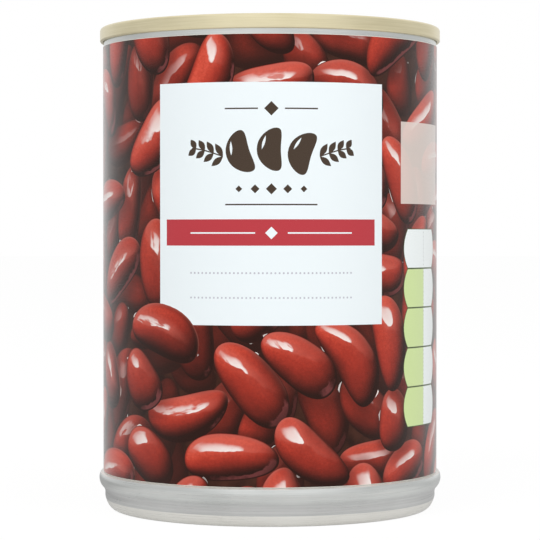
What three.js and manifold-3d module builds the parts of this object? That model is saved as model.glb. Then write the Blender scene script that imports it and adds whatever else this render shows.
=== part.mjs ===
// A shut food can with an easy-open end and a paper label, modelled full.
//
// Millimetres, +Z up. The origin is the centre of the circle that the can stands on,
// and the front of the label faces -Y.
//
//   can_body       drawn tinplate body with its contents: solid up to the headspace
//   easy_open_end  lacquered end, double-seamed onto the body, with score and rivet
//   pull_tab       ring pull, held by the rivet
//   label          paper wrapped once round the body and lapped over at the back

import * as THREE from "three";
import { mergeVertices } from "three/addons/utils/BufferGeometryUtils.js";
import Module from "manifold-3d";

const wasm = await Module();
wasm.setup();

// ---------------------------------------------------------------- driving dimensions

// Can body
const CAN_HEIGHT = 107; // foot ring to top of seam
const BODY_DIAMETER = 74.34; // plain wall, outside
const BODY_PLATE = 0.2; // wall thickness at the rim
const HEADSPACE = 0.8; // between the end and the contents

// Bead, neck and foot at the bottom of the body
const BEAD_PROUD = 1.07; // crest of the rolling bead beyond the wall
const BEAD_RADIUS = 2.75; // section of the bead
const BEAD_HEIGHT = 7; // floor to the crest of the bead
const BEAD_SHOULDER = 36; // degrees above the crest where the bead turns into the wall
const SHOULDER_RISE = 0.18; // from there up to the foot of the plain wall
const NECK_INSET = 0.24; // narrow band above the foot, inside the wall
const NECK_FILLET = 1.8; // hollow between the neck and the bead
const FOOT_RISE = 2.95; // floor to the crease above the foot
const FOOT_LEAN = 20; // degrees, how far round its curve the foot meets the crease
const FOOT_INSET = 2.68; // neck to the middle of the ring that the can stands on
const FOOT_WIDTH = 0.7; // flat of that ring
const FOOT_WALL_RUN = 1.6; // inside of that ring, from the flat to the panel

// Pressed panel under the can
const BASE_PANEL_RISE = 2.9; // floor to the panel
const BASE_BEAD_INSET = 7.85; // foot ring to a ring pressed down out of the panel
const BASE_BEAD_WIDTH = 4;
const BASE_BEAD_DROP = 0.7;
const BASE_CENTRE_INSET = 14.95; // foot ring to the middle, which is pressed up
const BASE_CENTRE_RISE = 0.7;

// Double seam
const END_PLATE = 0.24;
const SEAM_GAP = 0.05; // between one layer of the seam and the next
const SEAM_HEIGHT = 3.1;
const HOOK_CLEARANCE = 0.5; // end of each hook to the bend that it points into

// Easy-open end
const COUNTERSINK_DEPTH = 4.7; // top of seam down to the bottom of the countersink
const COUNTERSINK_WIDTH = 1.8; // between its two walls
const CHUCK_WALL_LEAN = 4; // degrees from upright
const PANEL_DEPTH = 3.4; // top of seam down to the rim of the panel
const PANEL_CORNER = 0.55; // bend radii of the countersink and the panel
const SCORE_INSET = 0.9; // edge of the panel to the tear line
const SCORE_WIDTH = 0.3;
const SCORE_CUT = 0.13;
const RECESS_INSET = 2.2; // edge of the panel to the step into the recess
const RECESS_DROP = 0.5;
const PRESSED_STEP = 0.7; // how far a pressed step runs inwards as it drops
const CENTRE_PAD_INSET = 12.5; // step of the recess to its raised middle
const CENTRE_PAD_RISE = 0.35;
const FINGER_WELL = { length: 12, width: 17, depth: 0.8 }; // dished under the ring

// Ring pull
const TAB_LENGTH = 31;
const TAB_WIDTH = 22;
const TAB_NOSE_WIDTH = 15;
const TAB_THICKNESS = 1.3; // over the curled edge
const TAB_CURL = 0.35; // rounding of that edge
const TAB_BAND = 3.6; // round the finger hole
const TAB_WEB = 0.45; // thin plate that the rivet clamps
const TAB_WEB_DIAMETER = 10.6;
const TAB_NOSE_SETBACK = 0.4; // tear line to the tip of the nose
const TAB_LIFT = 0.3; // rim of the panel to the underside of the tab
const LANCE = { diameter: 8.2, width: 0.8, sweep: 250 }; // slot that frees the rivet island

// Rivet
const RIVET_SETBACK = 6.4; // tip of the nose to the middle of the rivet
const RIVET_SHANK = 3.5;
const RIVET_HEAD = { diameter: 5.8, thickness: 0.55, dimple: 0.25 };
const RIVET_BOSS = { top: 6.4, bottom: 8.6 }; // diameters of the raised pad below the tab
const RIVET_GAP = 0.06; // round the shank, under the web and under the head

// Label
const LABEL_MARGIN = 1.05; // bare wall between the label and the seam
const LABEL_THICKNESS = 0.12;
const GLUE_GAP = 0.05; // body to label, and label to its own lap

// ---------------------------------------------------------------- resolution

const SEGMENTS = 44; // round the can: every turned piece shares these facets
const STEP = 360 / SEGMENTS;

const BARE_TIN = { color: 0xc9cbc7, roughness: 0.34, metalness: 1 };
const GOLD_LACQUER = { color: 0xe0d5a8, roughness: 0.36, metalness: 0.9 };
const TAB_METAL = { color: 0xd2d3d0, roughness: 0.3, metalness: 1 };
const COATED_PAPER = { color: 0xa33a30, roughness: 0.4, metalness: 0 };

const radians = (angle) => (angle * Math.PI) / 180;
const degrees = (angle) => (angle * 180) / Math.PI;

// ---------------------------------------------------------------- sizes worked out

const bodyRadius = BODY_DIAMETER / 2;
const neckRadius = bodyRadius - NECK_INSET;
const footRadius = neckRadius - FOOT_INSET;

// The five layers of the seam, from the body wall outwards, by their middle radii.
const wallMid = bodyRadius - BODY_PLATE / 2;
const chuckMid = bodyRadius - BODY_PLATE - SEAM_GAP - END_PLATE / 2;
const endHookMid = bodyRadius + SEAM_GAP + END_PLATE / 2;
const bodyHookMid = endHookMid + END_PLATE / 2 + SEAM_GAP + BODY_PLATE / 2;
const seamWallMid = bodyHookMid + BODY_PLATE / 2 + SEAM_GAP + END_PLATE / 2;

const seamBendRadius = (seamWallMid - chuckMid) / 2;
const seamBendMid = (seamWallMid + chuckMid) / 2;
const seamBendZ = CAN_HEIGHT - seamBendRadius - END_PLATE / 2;
const flangeBendRadius = (bodyHookMid - wallMid) / 2;
const curlBendRadius = (seamWallMid - endHookMid) / 2;
const seamBottomZ = CAN_HEIGHT - SEAM_HEIGHT;
const curlBendZ = seamBottomZ + curlBendRadius + END_PLATE / 2;
const bodyHookEndZ = seamBottomZ + END_PLATE + HOOK_CLEARANCE;
const endHookEndZ = seamBendZ + flangeBendRadius - BODY_PLATE / 2 - HOOK_CLEARANCE;

// Levels and radii on the end, all on the upper face of the plate.
const panelZ = CAN_HEIGHT - PANEL_DEPTH;
const recessZ = panelZ - RECESS_DROP;
const centrePadZ = recessZ + CENTRE_PAD_RISE;
const countersinkZ = CAN_HEIGHT - COUNTERSINK_DEPTH;
const chuckFootMid =
  chuckMid - (seamBendZ - countersinkZ) * Math.tan(radians(CHUCK_WALL_LEAN));
const panelWallMid = chuckFootMid - COUNTERSINK_WIDTH;
const panelEdge = panelWallMid - PANEL_CORNER;
const scoreRadius = panelEdge - SCORE_INSET;
const recessRadius = panelEdge - RECESS_INSET;
const centrePadRadius = recessRadius - CENTRE_PAD_INSET;
const wellZ = centrePadZ - FINGER_WELL.depth;
const contentsZ = Math.min(countersinkZ, wellZ) - END_PLATE - HEADSPACE;

// The ring pull stands over the panel, with its nose just inside the tear line.
const tabZ = panelZ + TAB_LIFT;
const noseY = scoreRadius - TAB_NOSE_SETBACK;
const rivetY = noseY - RIVET_SETBACK;
const tabHeelY = noseY - TAB_LENGTH;

// The label reaches from the top of the bead to just under the seam.
const wallFootZ = BEAD_HEIGHT + BEAD_RADIUS * Math.sin(radians(BEAD_SHOULDER)) + SHOULDER_RISE;
const labelBottomZ = wallFootZ + GLUE_GAP;
const labelHeight = seamBottomZ - LABEL_MARGIN - labelBottomZ;

// ---------------------------------------------------------------- outlines

const point = (r, z) => new THREE.Vector2(r, z);

// Points along an arc of radius `a`, or of an ellipse `a` by `b`, ends included.
function arc(r, z, a, from, to, steps, b = a) {
  return Array.from({ length: steps + 1 }, (_, i) => {
    const angle = radians(from + ((to - from) * i) / steps);
    return point(r + a * Math.cos(angle), z + b * Math.sin(angle));
  });
}

// The closed outline of a plate of even thickness that follows a centre line.
function plateOutline(line, thickness) {
  const offset = (i, side) => {
    const before = line[Math.max(i - 1, 0)];
    const after = line[Math.min(i + 1, line.length - 1)];
    const into = line[i].clone().sub(before).normalize();
    const out = after.clone().sub(line[i]).normalize();
    if (into.lengthSq() === 0) into.copy(out);
    if (out.lengthSq() === 0) out.copy(into);
    const normalIn = point(-into.y, into.x);
    const mitre = normalIn.clone().add(point(-out.y, out.x)).normalize();
    const reach = ((side * thickness) / 2) / mitre.dot(normalIn);
    return line[i].clone().addScaledVector(mitre, reach);
  };
  const upper = line.map((_, i) => offset(i, 1));
  const lower = line.map((_, i) => offset(i, -1)).reverse();
  return [...upper, ...lower];
}

// The outline of a band stretched tightly round some circles {x, y, radius}.
function bandRound(circles, steps) {
  const outline = [];
  for (let i = 0; i < steps; i++) {
    const angle = (2 * Math.PI * i) / steps;
    const way = new THREE.Vector2(Math.cos(angle), Math.sin(angle));
    const reach = (c) => c.x * way.x + c.y * way.y + c.radius;
    const outermost = circles.reduce((a, b) => (reach(b) > reach(a) ? b : a));
    outline.push(
      new THREE.Vector2(outermost.x, outermost.y).addScaledVector(way, outermost.radius),
    );
  }
  return outline;
}

// ---------------------------------------------------------------- solids

function toSolid(geometry) {
  const bare = geometry.index ? geometry.toNonIndexed() : geometry.clone();
  bare.deleteAttribute("normal");
  bare.deleteAttribute("uv");
  const merged = mergeVertices(bare, 1e-4);
  return new wasm.Manifold(
    new wasm.Mesh({
      numProp: 3,
      vertProperties: merged.attributes.position.array,
      triVerts: new Uint32Array(merged.index.array),
    }),
  );
}

function toGeometry(solid) {
  const mesh = solid.getMesh();
  const geometry = new THREE.BufferGeometry();
  geometry.setAttribute("position", new THREE.BufferAttribute(mesh.vertProperties, 3));
  geometry.setIndex(new THREE.BufferAttribute(mesh.triVerts, 1));
  const faceted = geometry.toNonIndexed();
  faceted.computeVertexNormals();
  return faceted;
}

// Turns a closed section, anticlockwise in (radius, z), about the Z axis.
function turned(section, segments = SEGMENTS) {
  const ring = new THREE.LatheGeometry([...section, section[0]], segments);
  return ring.rotateX(Math.PI / 2);
}

function plateSolid(outline, thickness, holes = [], curl = 0) {
  const shape = new THREE.Shape(outline);
  shape.holes = holes.map((hole) => new THREE.Path(hole));
  const geometry = new THREE.ExtrudeGeometry(shape, {
    depth: thickness - 2 * curl,
    steps: 1,
    curveSegments: 1,
    bevelEnabled: curl > 0,
    bevelThickness: curl,
    bevelSize: curl,
    bevelOffset: -curl,
    bevelSegments: 1,
  });
  return toSolid(geometry.translate(0, 0, curl));
}

// ---------------------------------------------------------------- can body

function underside() {
  const centre = footRadius - BASE_CENTRE_INSET;
  const bead = footRadius - BASE_BEAD_INSET;
  const half = BASE_BEAD_WIDTH / 2;
  const slope = BASE_BEAD_DROP;
  const low = BASE_PANEL_RISE - BASE_BEAD_DROP;
  const high = BASE_PANEL_RISE + BASE_CENTRE_RISE;
  const ringInside = footRadius - FOOT_WIDTH / 2;
  return [
    point(0, high),
    point(centre - BASE_CENTRE_RISE, high),
    point(centre, BASE_PANEL_RISE),
    point(bead - half, BASE_PANEL_RISE),
    point(bead - half + slope, low),
    point(bead + half - slope, low),
    point(bead + half, BASE_PANEL_RISE),
    point(ringInside - FOOT_WALL_RUN, BASE_PANEL_RISE),
    point(ringInside - FOOT_WALL_RUN / 2, 0.75 * BASE_PANEL_RISE),
    point(ringInside - FOOT_WALL_RUN / 3, 0.12 * BASE_PANEL_RISE),
    point(ringInside, 0),
  ];
}

function footNeckAndBead() {
  const ringOutside = footRadius + FOOT_WIDTH / 2;
  const footReach = (neckRadius - ringOutside) / Math.cos(radians(FOOT_LEAN));
  const footDepth = FOOT_RISE / (1 - Math.sin(radians(FOOT_LEAN)));
  const foot = arc(ringOutside, footDepth, footReach, -90, -FOOT_LEAN, 5, footDepth);

  // The hollow touches the upright neck and the round of the bead.
  const beadMid = bodyRadius + BEAD_PROUD - BEAD_RADIUS;
  const hollowMid = neckRadius + NECK_FILLET;
  const drop = Math.sqrt((BEAD_RADIUS + NECK_FILLET) ** 2 - (hollowMid - beadMid) ** 2);
  const meeting = degrees(Math.atan2(drop, hollowMid - beadMid));
  const hollowZ = BEAD_HEIGHT - drop;
  const hollow = arc(hollowMid, hollowZ, NECK_FILLET, 180, 180 - meeting, 2);
  const bead = arc(beadMid, BEAD_HEIGHT, BEAD_RADIUS, -meeting, BEAD_SHOULDER, 6);

  return [...foot, ...hollow.slice(0, -1), ...bead, point(bodyRadius, wallFootZ)];
}

// The rim of the body, turned out and down over the hook of the end: from the outside
// of the wall round the hollow of the flange, then back over the top of it.
function flange() {
  const half = BODY_PLATE / 2;
  return [
    ...arc(seamBendMid, seamBendZ, flangeBendRadius - half, 180, 0, 3),
    point(bodyHookMid - half, bodyHookEndZ),
    point(bodyHookMid + half, bodyHookEndZ),
    ...arc(seamBendMid, seamBendZ, flangeBendRadius + half, 0, 180, 4),
  ];
}

function canBody() {
  return turned([
    ...underside(),
    ...footNeckAndBead(),
    ...flange(),
    point(bodyRadius - BODY_PLATE, contentsZ),
    point(0, contentsZ),
  ]);
}

// ---------------------------------------------------------------- easy-open end

function endLine() {
  const half = END_PLATE / 2;
  // The corner of the panel and the countersink meet in an S, or with an upright
  // wall between them where the countersink is deep.
  const sinkRadius = COUNTERSINK_WIDTH / 2;
  const sinkMid = panelWallMid + sinkRadius;
  const sinkZ = countersinkZ - half + sinkRadius;
  const cornerZ = panelZ - half - PANEL_CORNER;
  const rise = Math.max(sinkZ - cornerZ, 0);
  const bend = degrees(2 * Math.atan2(rise, sinkMid - panelEdge));
  return [
    point(0, centrePadZ - half),
    point(centrePadRadius - PRESSED_STEP, centrePadZ - half),
    point(centrePadRadius, recessZ - half),
    point(recessRadius - PRESSED_STEP, recessZ - half),
    point(recessRadius, panelZ - half),
    ...arc(panelEdge, cornerZ, PANEL_CORNER, 90, bend, 2),
    ...arc(sinkMid, sinkZ, sinkRadius, 180 + bend, 360 - CHUCK_WALL_LEAN, 4),
    ...arc(seamBendMid, seamBendZ, seamBendRadius, 180 - CHUCK_WALL_LEAN, 0, 6),
    ...arc((seamWallMid + endHookMid) / 2, curlBendZ, curlBendRadius, 360, 180, 4),
    point(endHookMid, endHookEndZ),
  ];
}

// A V-shaped groove, cut part way through the plate all round the panel.
function tearLine() {
  const above = panelZ + SCORE_CUT; // the V opens to the full width at the face
  return toSolid(
    turned([
      point(scoreRadius, panelZ - SCORE_CUT),
      point(scoreRadius + SCORE_WIDTH, above),
      point(scoreRadius - SCORE_WIDTH, above),
    ]),
  );
}

// Boss, shank and head in one, drawn up out of the panel.
function rivet() {
  const root = recessZ - END_PLATE / 2;
  const bossZ = tabZ - RIVET_GAP;
  const headZ = tabZ + TAB_WEB + RIVET_GAP;
  const topZ = headZ + RIVET_HEAD.thickness;
  const headRadius = RIVET_HEAD.diameter / 2;
  const section = [
    point(0, root),
    point(RIVET_BOSS.bottom / 2, root),
    point(RIVET_BOSS.bottom / 2, recessZ),
    point(RIVET_BOSS.top / 2, bossZ),
    point(RIVET_SHANK / 2, bossZ),
    point(RIVET_SHANK / 2, headZ),
    point(headRadius, headZ),
    point(headRadius, topZ - RIVET_HEAD.thickness / 3),
    point(headRadius * 0.8, topZ),
    point(headRadius * 0.45, topZ),
    point(0, topZ - RIVET_HEAD.dimple),
  ];
  return toSolid(turned(section, 16)).translate(0, rivetY, 0);
}

// One face of the dish under the ring: part of a ball that is stretched sideways.
function dish(faceZ, rimZ) {
  const { length, width, depth } = FINGER_WELL;
  const ball = (length * length) / (8 * depth) + depth / 2;
  const bottom = faceZ - depth;
  const rise = rimZ - bottom;
  const opening = degrees(Math.acos(1 - rise / ball));
  const bowl = arc(0, bottom + ball, ball, -90, -90 + opening, 4);
  const solid = toSolid(turned([...bowl, point(0, rimZ)], 20));
  return solid.scale([width / length, 1, 1]).translate(0, tabHeelY + length / 3, 0);
}

function easyOpenEnd() {
  const dishOutside = dish(centrePadZ - END_PLATE, centrePadZ - END_PLATE / 2);
  const dishInside = dish(centrePadZ, centrePadZ + END_PLATE);
  const outline = plateOutline(endLine(), END_PLATE).reverse();
  const pressed = toSolid(turned(outline))
    .subtract(tearLine())
    .add(dishOutside)
    .subtract(dishInside)
    .add(rivet());
  return toGeometry(pressed);
}

// ---------------------------------------------------------------- ring pull

function lance() {
  const { diameter, width, sweep } = LANCE;
  const from = 90 - sweep / 2; // the slot opens towards the ring, where the island bends
  const outer = arc(0, 0, diameter / 2 + width / 2, from, from + sweep, 12);
  const inner = arc(0, 0, diameter / 2 - width / 2, from + sweep, from, 12);
  return plateSolid([...outer, ...inner], 2 * TAB_THICKNESS).translate(0, 0, -TAB_WEB);
}

// Drawn about the rivet, with the nose towards +Y and the ring towards -Y.
function pullTab() {
  const noseRadius = TAB_NOSE_WIDTH / 2;
  const ringRadius = TAB_WIDTH / 2;
  const ringY = RIVET_SETBACK - TAB_LENGTH + ringRadius;
  const nose = { x: 0, y: RIVET_SETBACK - noseRadius, radius: noseRadius };
  const ring = { x: 0, y: ringY, radius: ringRadius };
  const outline = bandRound([nose, ring], 40);

  const holeRadius = ringRadius - TAB_BAND;
  const cornerRadius = 2;
  const cornerX = holeRadius - cornerRadius;
  const cornerY = -TAB_WEB_DIAMETER / 2 - TAB_BAND / 2 - cornerRadius;
  const hole = bandRound(
    [
      { x: 0, y: ringY, radius: holeRadius },
      { x: -cornerX, y: cornerY, radius: cornerRadius },
      { x: cornerX, y: cornerY, radius: cornerRadius },
    ],
    28,
  ).reverse();

  const web = bandRound([{ x: 0, y: 0, radius: TAB_WEB_DIAMETER / 2 }], 24);
  const rivetHole = bandRound([{ x: 0, y: 0, radius: RIVET_SHANK / 2 + RIVET_GAP }], 16);
  const tab = plateSolid(outline, TAB_THICKNESS, [hole], TAB_CURL)
    .subtract(plateSolid(web, TAB_THICKNESS).translate(0, 0, TAB_WEB))
    .subtract(plateSolid(rivetHole, 2 * TAB_THICKNESS).translate(0, 0, -TAB_WEB))
    .subtract(lance());
  return toGeometry(tab);
}

// ---------------------------------------------------------------- label

// One turn of paper whose last facet laps over the first, seen from above.
function label() {
  const inside = bodyRadius + GLUE_GAP;
  const lift = LABEL_THICKNESS + GLUE_GAP;
  const start = 90; // the lap is at the back
  const turns = [];
  for (let i = 0; i <= SEGMENTS + 1; i++) {
    turns.push({ angle: radians(start + i * STEP), lift: i >= SEGMENTS ? lift : 0 });
  }
  const at = ({ angle, lift: up }, thickness) => {
    const r = inside + up + thickness;
    return new THREE.Vector2(r * Math.cos(angle), r * Math.sin(angle));
  };
  const outer = turns.map((turn) => at(turn, LABEL_THICKNESS));
  const inner = turns.map((turn) => at(turn, 0)).reverse();
  return toGeometry(plateSolid([...outer, ...inner], labelHeight));
}

// ---------------------------------------------------------------- the can

const can = new THREE.Group();

function addPiece(name, geometry, finish, y = 0, z = 0) {
  const mesh = new THREE.Mesh(geometry, new THREE.MeshStandardMaterial(finish));
  mesh.name = name;
  mesh.position.set(0, y, z);
  can.add(mesh);
}

addPiece("can_body", canBody(), BARE_TIN);
addPiece("easy_open_end", easyOpenEnd(), GOLD_LACQUER);
addPiece("pull_tab", pullTab(), TAB_METAL, rivetY, tabZ);
addPiece("label", label(), COATED_PAPER, 0, labelBottomZ);

export default can;
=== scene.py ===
# A shut food can: drawn tinplate body with a beaded foot, ring-pull end seamed on, and a
# paper label printed with red kidney beans round a plain white panel.
#
# Outlines are worked out in millimetres, with +Z up and the front of the label facing -Y,
# and become metres when a mesh is made.

import math
import random

import bpy
import numpy as np
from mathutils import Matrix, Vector
from mathutils.geometry import delaunay_2d_cdt


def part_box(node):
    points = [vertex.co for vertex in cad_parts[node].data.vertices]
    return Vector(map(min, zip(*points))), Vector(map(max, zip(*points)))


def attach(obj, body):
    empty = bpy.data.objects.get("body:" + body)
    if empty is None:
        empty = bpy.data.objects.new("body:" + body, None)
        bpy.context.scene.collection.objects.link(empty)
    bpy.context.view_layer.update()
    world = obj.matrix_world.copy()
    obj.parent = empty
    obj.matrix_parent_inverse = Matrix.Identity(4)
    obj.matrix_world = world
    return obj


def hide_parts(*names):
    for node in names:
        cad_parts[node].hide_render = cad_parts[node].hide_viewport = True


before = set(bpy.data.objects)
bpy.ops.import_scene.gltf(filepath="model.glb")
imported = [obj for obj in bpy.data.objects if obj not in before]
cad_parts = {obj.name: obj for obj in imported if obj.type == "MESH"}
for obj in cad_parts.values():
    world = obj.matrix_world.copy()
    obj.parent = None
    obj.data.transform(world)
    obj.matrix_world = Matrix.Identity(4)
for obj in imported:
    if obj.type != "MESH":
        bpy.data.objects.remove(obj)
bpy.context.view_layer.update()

MM = 0.001

# --- sizes from the frame

CAN_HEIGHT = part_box("easy_open_end")[1].z / MM
LABEL_DROP = 0.42  # the sheet is pressed down onto the shoulder of the bead
LABEL_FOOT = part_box("label")[0].z / MM - LABEL_DROP
LABEL_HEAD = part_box("label")[1].z / MM
TAB_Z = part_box("pull_tab")[0].z / MM
NOSE_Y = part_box("pull_tab")[1].y / MM
HEEL_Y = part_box("pull_tab")[0].y / MM

# --- sizes in millimetres

# Body
BODY_RADIUS = 37.17
BODY_PLATE = 0.2
HEADSPACE = 0.8
BEAD_PROUD = 1.07
BEAD_RADIUS = 2.75
BEAD_HEIGHT = 7.0
BEAD_SHOULDER = 25
NECK_INSET = 0.24
NECK_FILLET = 1.8
FOOT_RISE = 2.95
FOOT_LEAN = 20
FOOT_INSET = 2.68
FOOT_WIDTH = 0.7
FOOT_WALL_RUN = 1.6

# Pressed panel under the can
BASE_PANEL_RISE = 2.9
BASE_BEAD_INSET = 7.85
BASE_BEAD_WIDTH = 4.0
BASE_BEAD_DROP = 0.7
BASE_CENTRE_INSET = 14.95
BASE_CENTRE_RISE = 0.7
BASE_CENTRE_STEP = 1.2
BASE_BEAD_FLAT = 0.8
BASE_CORNER, BASE_CORNER_LEAN = 0.6, 25
BASE_CORNER_DROP = 1.25  # of the corner's radius, down to where the foot's inner wall starts
FOOT_WALL_END, FOOT_ROUND_FROM = 0.2, 215  # millimetres above the floor, and degrees
FOOT_ROUND = 0.5
BASE_GRAIN_TO = 31.0  # rolled grain inside this radius, turned grain outside it

# Double seam
END_PLATE = 0.24
SEAM_GAP = 0.05
SEAM_HEIGHT = 3.1
HOOK_CLEARANCE = 0.5

# Easy-open end
COUNTERSINK_DEPTH = 4.7
COUNTERSINK_WIDTH = 1.8
CHUCK_WALL_LEAN = 4
PANEL_DEPTH = 3.4
PANEL_CORNER = 0.55
SCORE_INSET = 0.9
SCORE_WIDTH = 0.3
SCORE_CUT = 0.13
RECESS_INSET = 2.2
RECESS_DROP = 0.5
RECESS_STEP = 1.0
CENTRE_PAD_INSET = 12.5
CENTRE_PAD_RISE = 0.35
CENTRE_PAD_STEP = 1.1
CENTRE_PAD_RINGS = 34  # rings of points, close enough for the well to be pressed in
WELL_LENGTH, WELL_WIDTH, WELL_DEPTH = 12.0, 17.0, 0.8
WELL_RIM = 1.0  # the well's soft rim, outside that length and width
WELL_FLOOR = 0.15  # its flat middle, as a share of its size

# Ring pull and rivet
TAB_WIDTH = 22.0
TAB_NOSE_WIDTH = 15.0
TAB_BAND = 3.6
TAB_WEB = 0.45
TAB_WEB_DIAMETER = 10.6
OUTER_CURL = {"width": 1.5, "bend": 0.65}
HOLE_CURL = {"width": 1.0, "bend": 0.5}
FINGER_CORNER = 2.0
LANCE_DIAMETER, LANCE_WIDTH, LANCE_SWEEP = 8.2, 0.8, 250
RIVET_SETBACK = 6.4
RIVET_SHANK = 3.5
RIVET_HEAD, RIVET_HEAD_THICKNESS, RIVET_DIMPLE = 5.8, 0.55, 0.25
DIMPLE_EDGE, DIMPLE_FLOOR = 0.62, 0.25  # of the head's radius
RIVET_BOSS_TOP, RIVET_BOSS_FOOT = 6.4, 8.6
RIVET_GAP = 0.06

# Label
PAPER = 0.12
GLUE_GAP = 0.05
LAP_COLUMNS = 6

TURNS = 256  # facets round the can
RIVET_TURNS = 72
TAB_TURNS = 168
SLOT_TURNS = 48
CREASE, TAB_CREASE = 34, 40  # degrees between faces from which an edge is drawn sharp

# --- sizes worked out

neck_radius = BODY_RADIUS - NECK_INSET
foot_radius = neck_radius - FOOT_INSET

wall_mid = BODY_RADIUS - BODY_PLATE / 2
chuck_mid = BODY_RADIUS - BODY_PLATE - SEAM_GAP - END_PLATE / 2
end_hook_mid = BODY_RADIUS + SEAM_GAP + END_PLATE / 2
body_hook_mid = end_hook_mid + END_PLATE / 2 + SEAM_GAP + BODY_PLATE / 2
seam_wall_mid = body_hook_mid + BODY_PLATE / 2 + SEAM_GAP + END_PLATE / 2

seam_bend_radius = (seam_wall_mid - chuck_mid) / 2
seam_bend_mid = (seam_wall_mid + chuck_mid) / 2
seam_bend_z = CAN_HEIGHT - seam_bend_radius - END_PLATE / 2
flange_bend_radius = (body_hook_mid - wall_mid) / 2
curl_bend_radius = (seam_wall_mid - end_hook_mid) / 2
seam_foot_z = CAN_HEIGHT - SEAM_HEIGHT
curl_bend_z = seam_foot_z + curl_bend_radius + END_PLATE / 2
body_hook_end_z = seam_foot_z + END_PLATE + HOOK_CLEARANCE
end_hook_end_z = seam_bend_z + flange_bend_radius - BODY_PLATE / 2 - HOOK_CLEARANCE

panel_z = CAN_HEIGHT - PANEL_DEPTH
recess_z = panel_z - RECESS_DROP
centre_pad_z = recess_z + CENTRE_PAD_RISE
countersink_z = CAN_HEIGHT - COUNTERSINK_DEPTH
chuck_lean = math.tan(math.radians(CHUCK_WALL_LEAN))
chuck_foot_mid = chuck_mid - (seam_bend_z - countersink_z) * chuck_lean
panel_wall_mid = chuck_foot_mid - COUNTERSINK_WIDTH
panel_edge = panel_wall_mid - PANEL_CORNER
score_radius = panel_edge - SCORE_INSET
recess_radius = panel_edge - RECESS_INSET
centre_pad_radius = recess_radius - CENTRE_PAD_INSET
contents_z = min(countersink_z, centre_pad_z - WELL_DEPTH) - END_PLATE - HEADSPACE

rivet_y = NOSE_Y - RIVET_SETBACK
well_y = HEEL_Y + WELL_LENGTH / 3

wall_foot_z = LABEL_FOOT - GLUE_GAP
paper_inside = BODY_RADIUS + GLUE_GAP
paper_outside = paper_inside + PAPER
label_height = LABEL_HEAD - LABEL_FOOT
around = 2 * math.pi * paper_outside  # once round the print

# --- outlines


def arc(r, z, a, start, end, steps, b=None):
    """Points along an arc of radius a, or of an ellipse a by b, ends included."""
    b = a if b is None else b
    angles = [math.radians(start + (end - start) * i / steps) for i in range(steps + 1)]
    return [(r + a * math.cos(t), z + b * math.sin(t)) for t in angles]


def pressed(r_from, z_from, r_to, z_to, steps=8):
    """Points down the soft S of a pressed step, without its two ends."""
    points = []
    for i in range(1, steps):
        share = i / steps
        ease = (1 - math.cos(math.pi * share)) / 2
        points.append((r_from + (r_to - r_from) * share, z_from + (z_to - z_from) * ease))
    return points


def level(z, *radii):
    return [(r, z) for r in radii]


def plate_outline(line, thickness):
    """The upper and the lower side of a plate of even thickness along a centre line."""
    at = np.array(line, float)
    into = np.diff(at, axis=0, prepend=2 * at[:1] - at[1:2])
    out = np.diff(at, axis=0, append=2 * at[-1:] - at[-2:-1])
    into /= np.linalg.norm(into, axis=1, keepdims=True)
    out /= np.linalg.norm(out, axis=1, keepdims=True)
    square = np.stack([-into[:, 1], into[:, 0]], 1)
    mitre = square + np.stack([-out[:, 1], out[:, 0]], 1)
    mitre /= np.linalg.norm(mitre, axis=1, keepdims=True)
    reach = thickness / 2 / (mitre * square).sum(1, keepdims=True)
    return at + mitre * reach, at - mitre * reach


def band_round(circles, steps):
    """The outline of a band stretched tightly round some circles (x, y, radius)."""
    outline = []
    for i in range(steps):
        way = (math.cos(math.tau * i / steps), math.sin(math.tau * i / steps))
        x, y, radius = max(circles, key=lambda c: c[0] * way[0] + c[1] * way[1] + c[2])
        outline.append((x + radius * way[0], y + radius * way[1]))
    return outline


# --- meshes


def new_mesh(name, points, faces):
    """A mesh from points in millimetres."""
    mesh = bpy.data.meshes.new(name)
    mesh.from_pydata([[c * MM for c in p] for p in points], [], faces)
    mesh.update()
    return mesh


def new_object(name, data):
    made = bpy.data.objects.new(name, data)
    bpy.context.scene.collection.objects.link(made)
    return made


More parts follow.
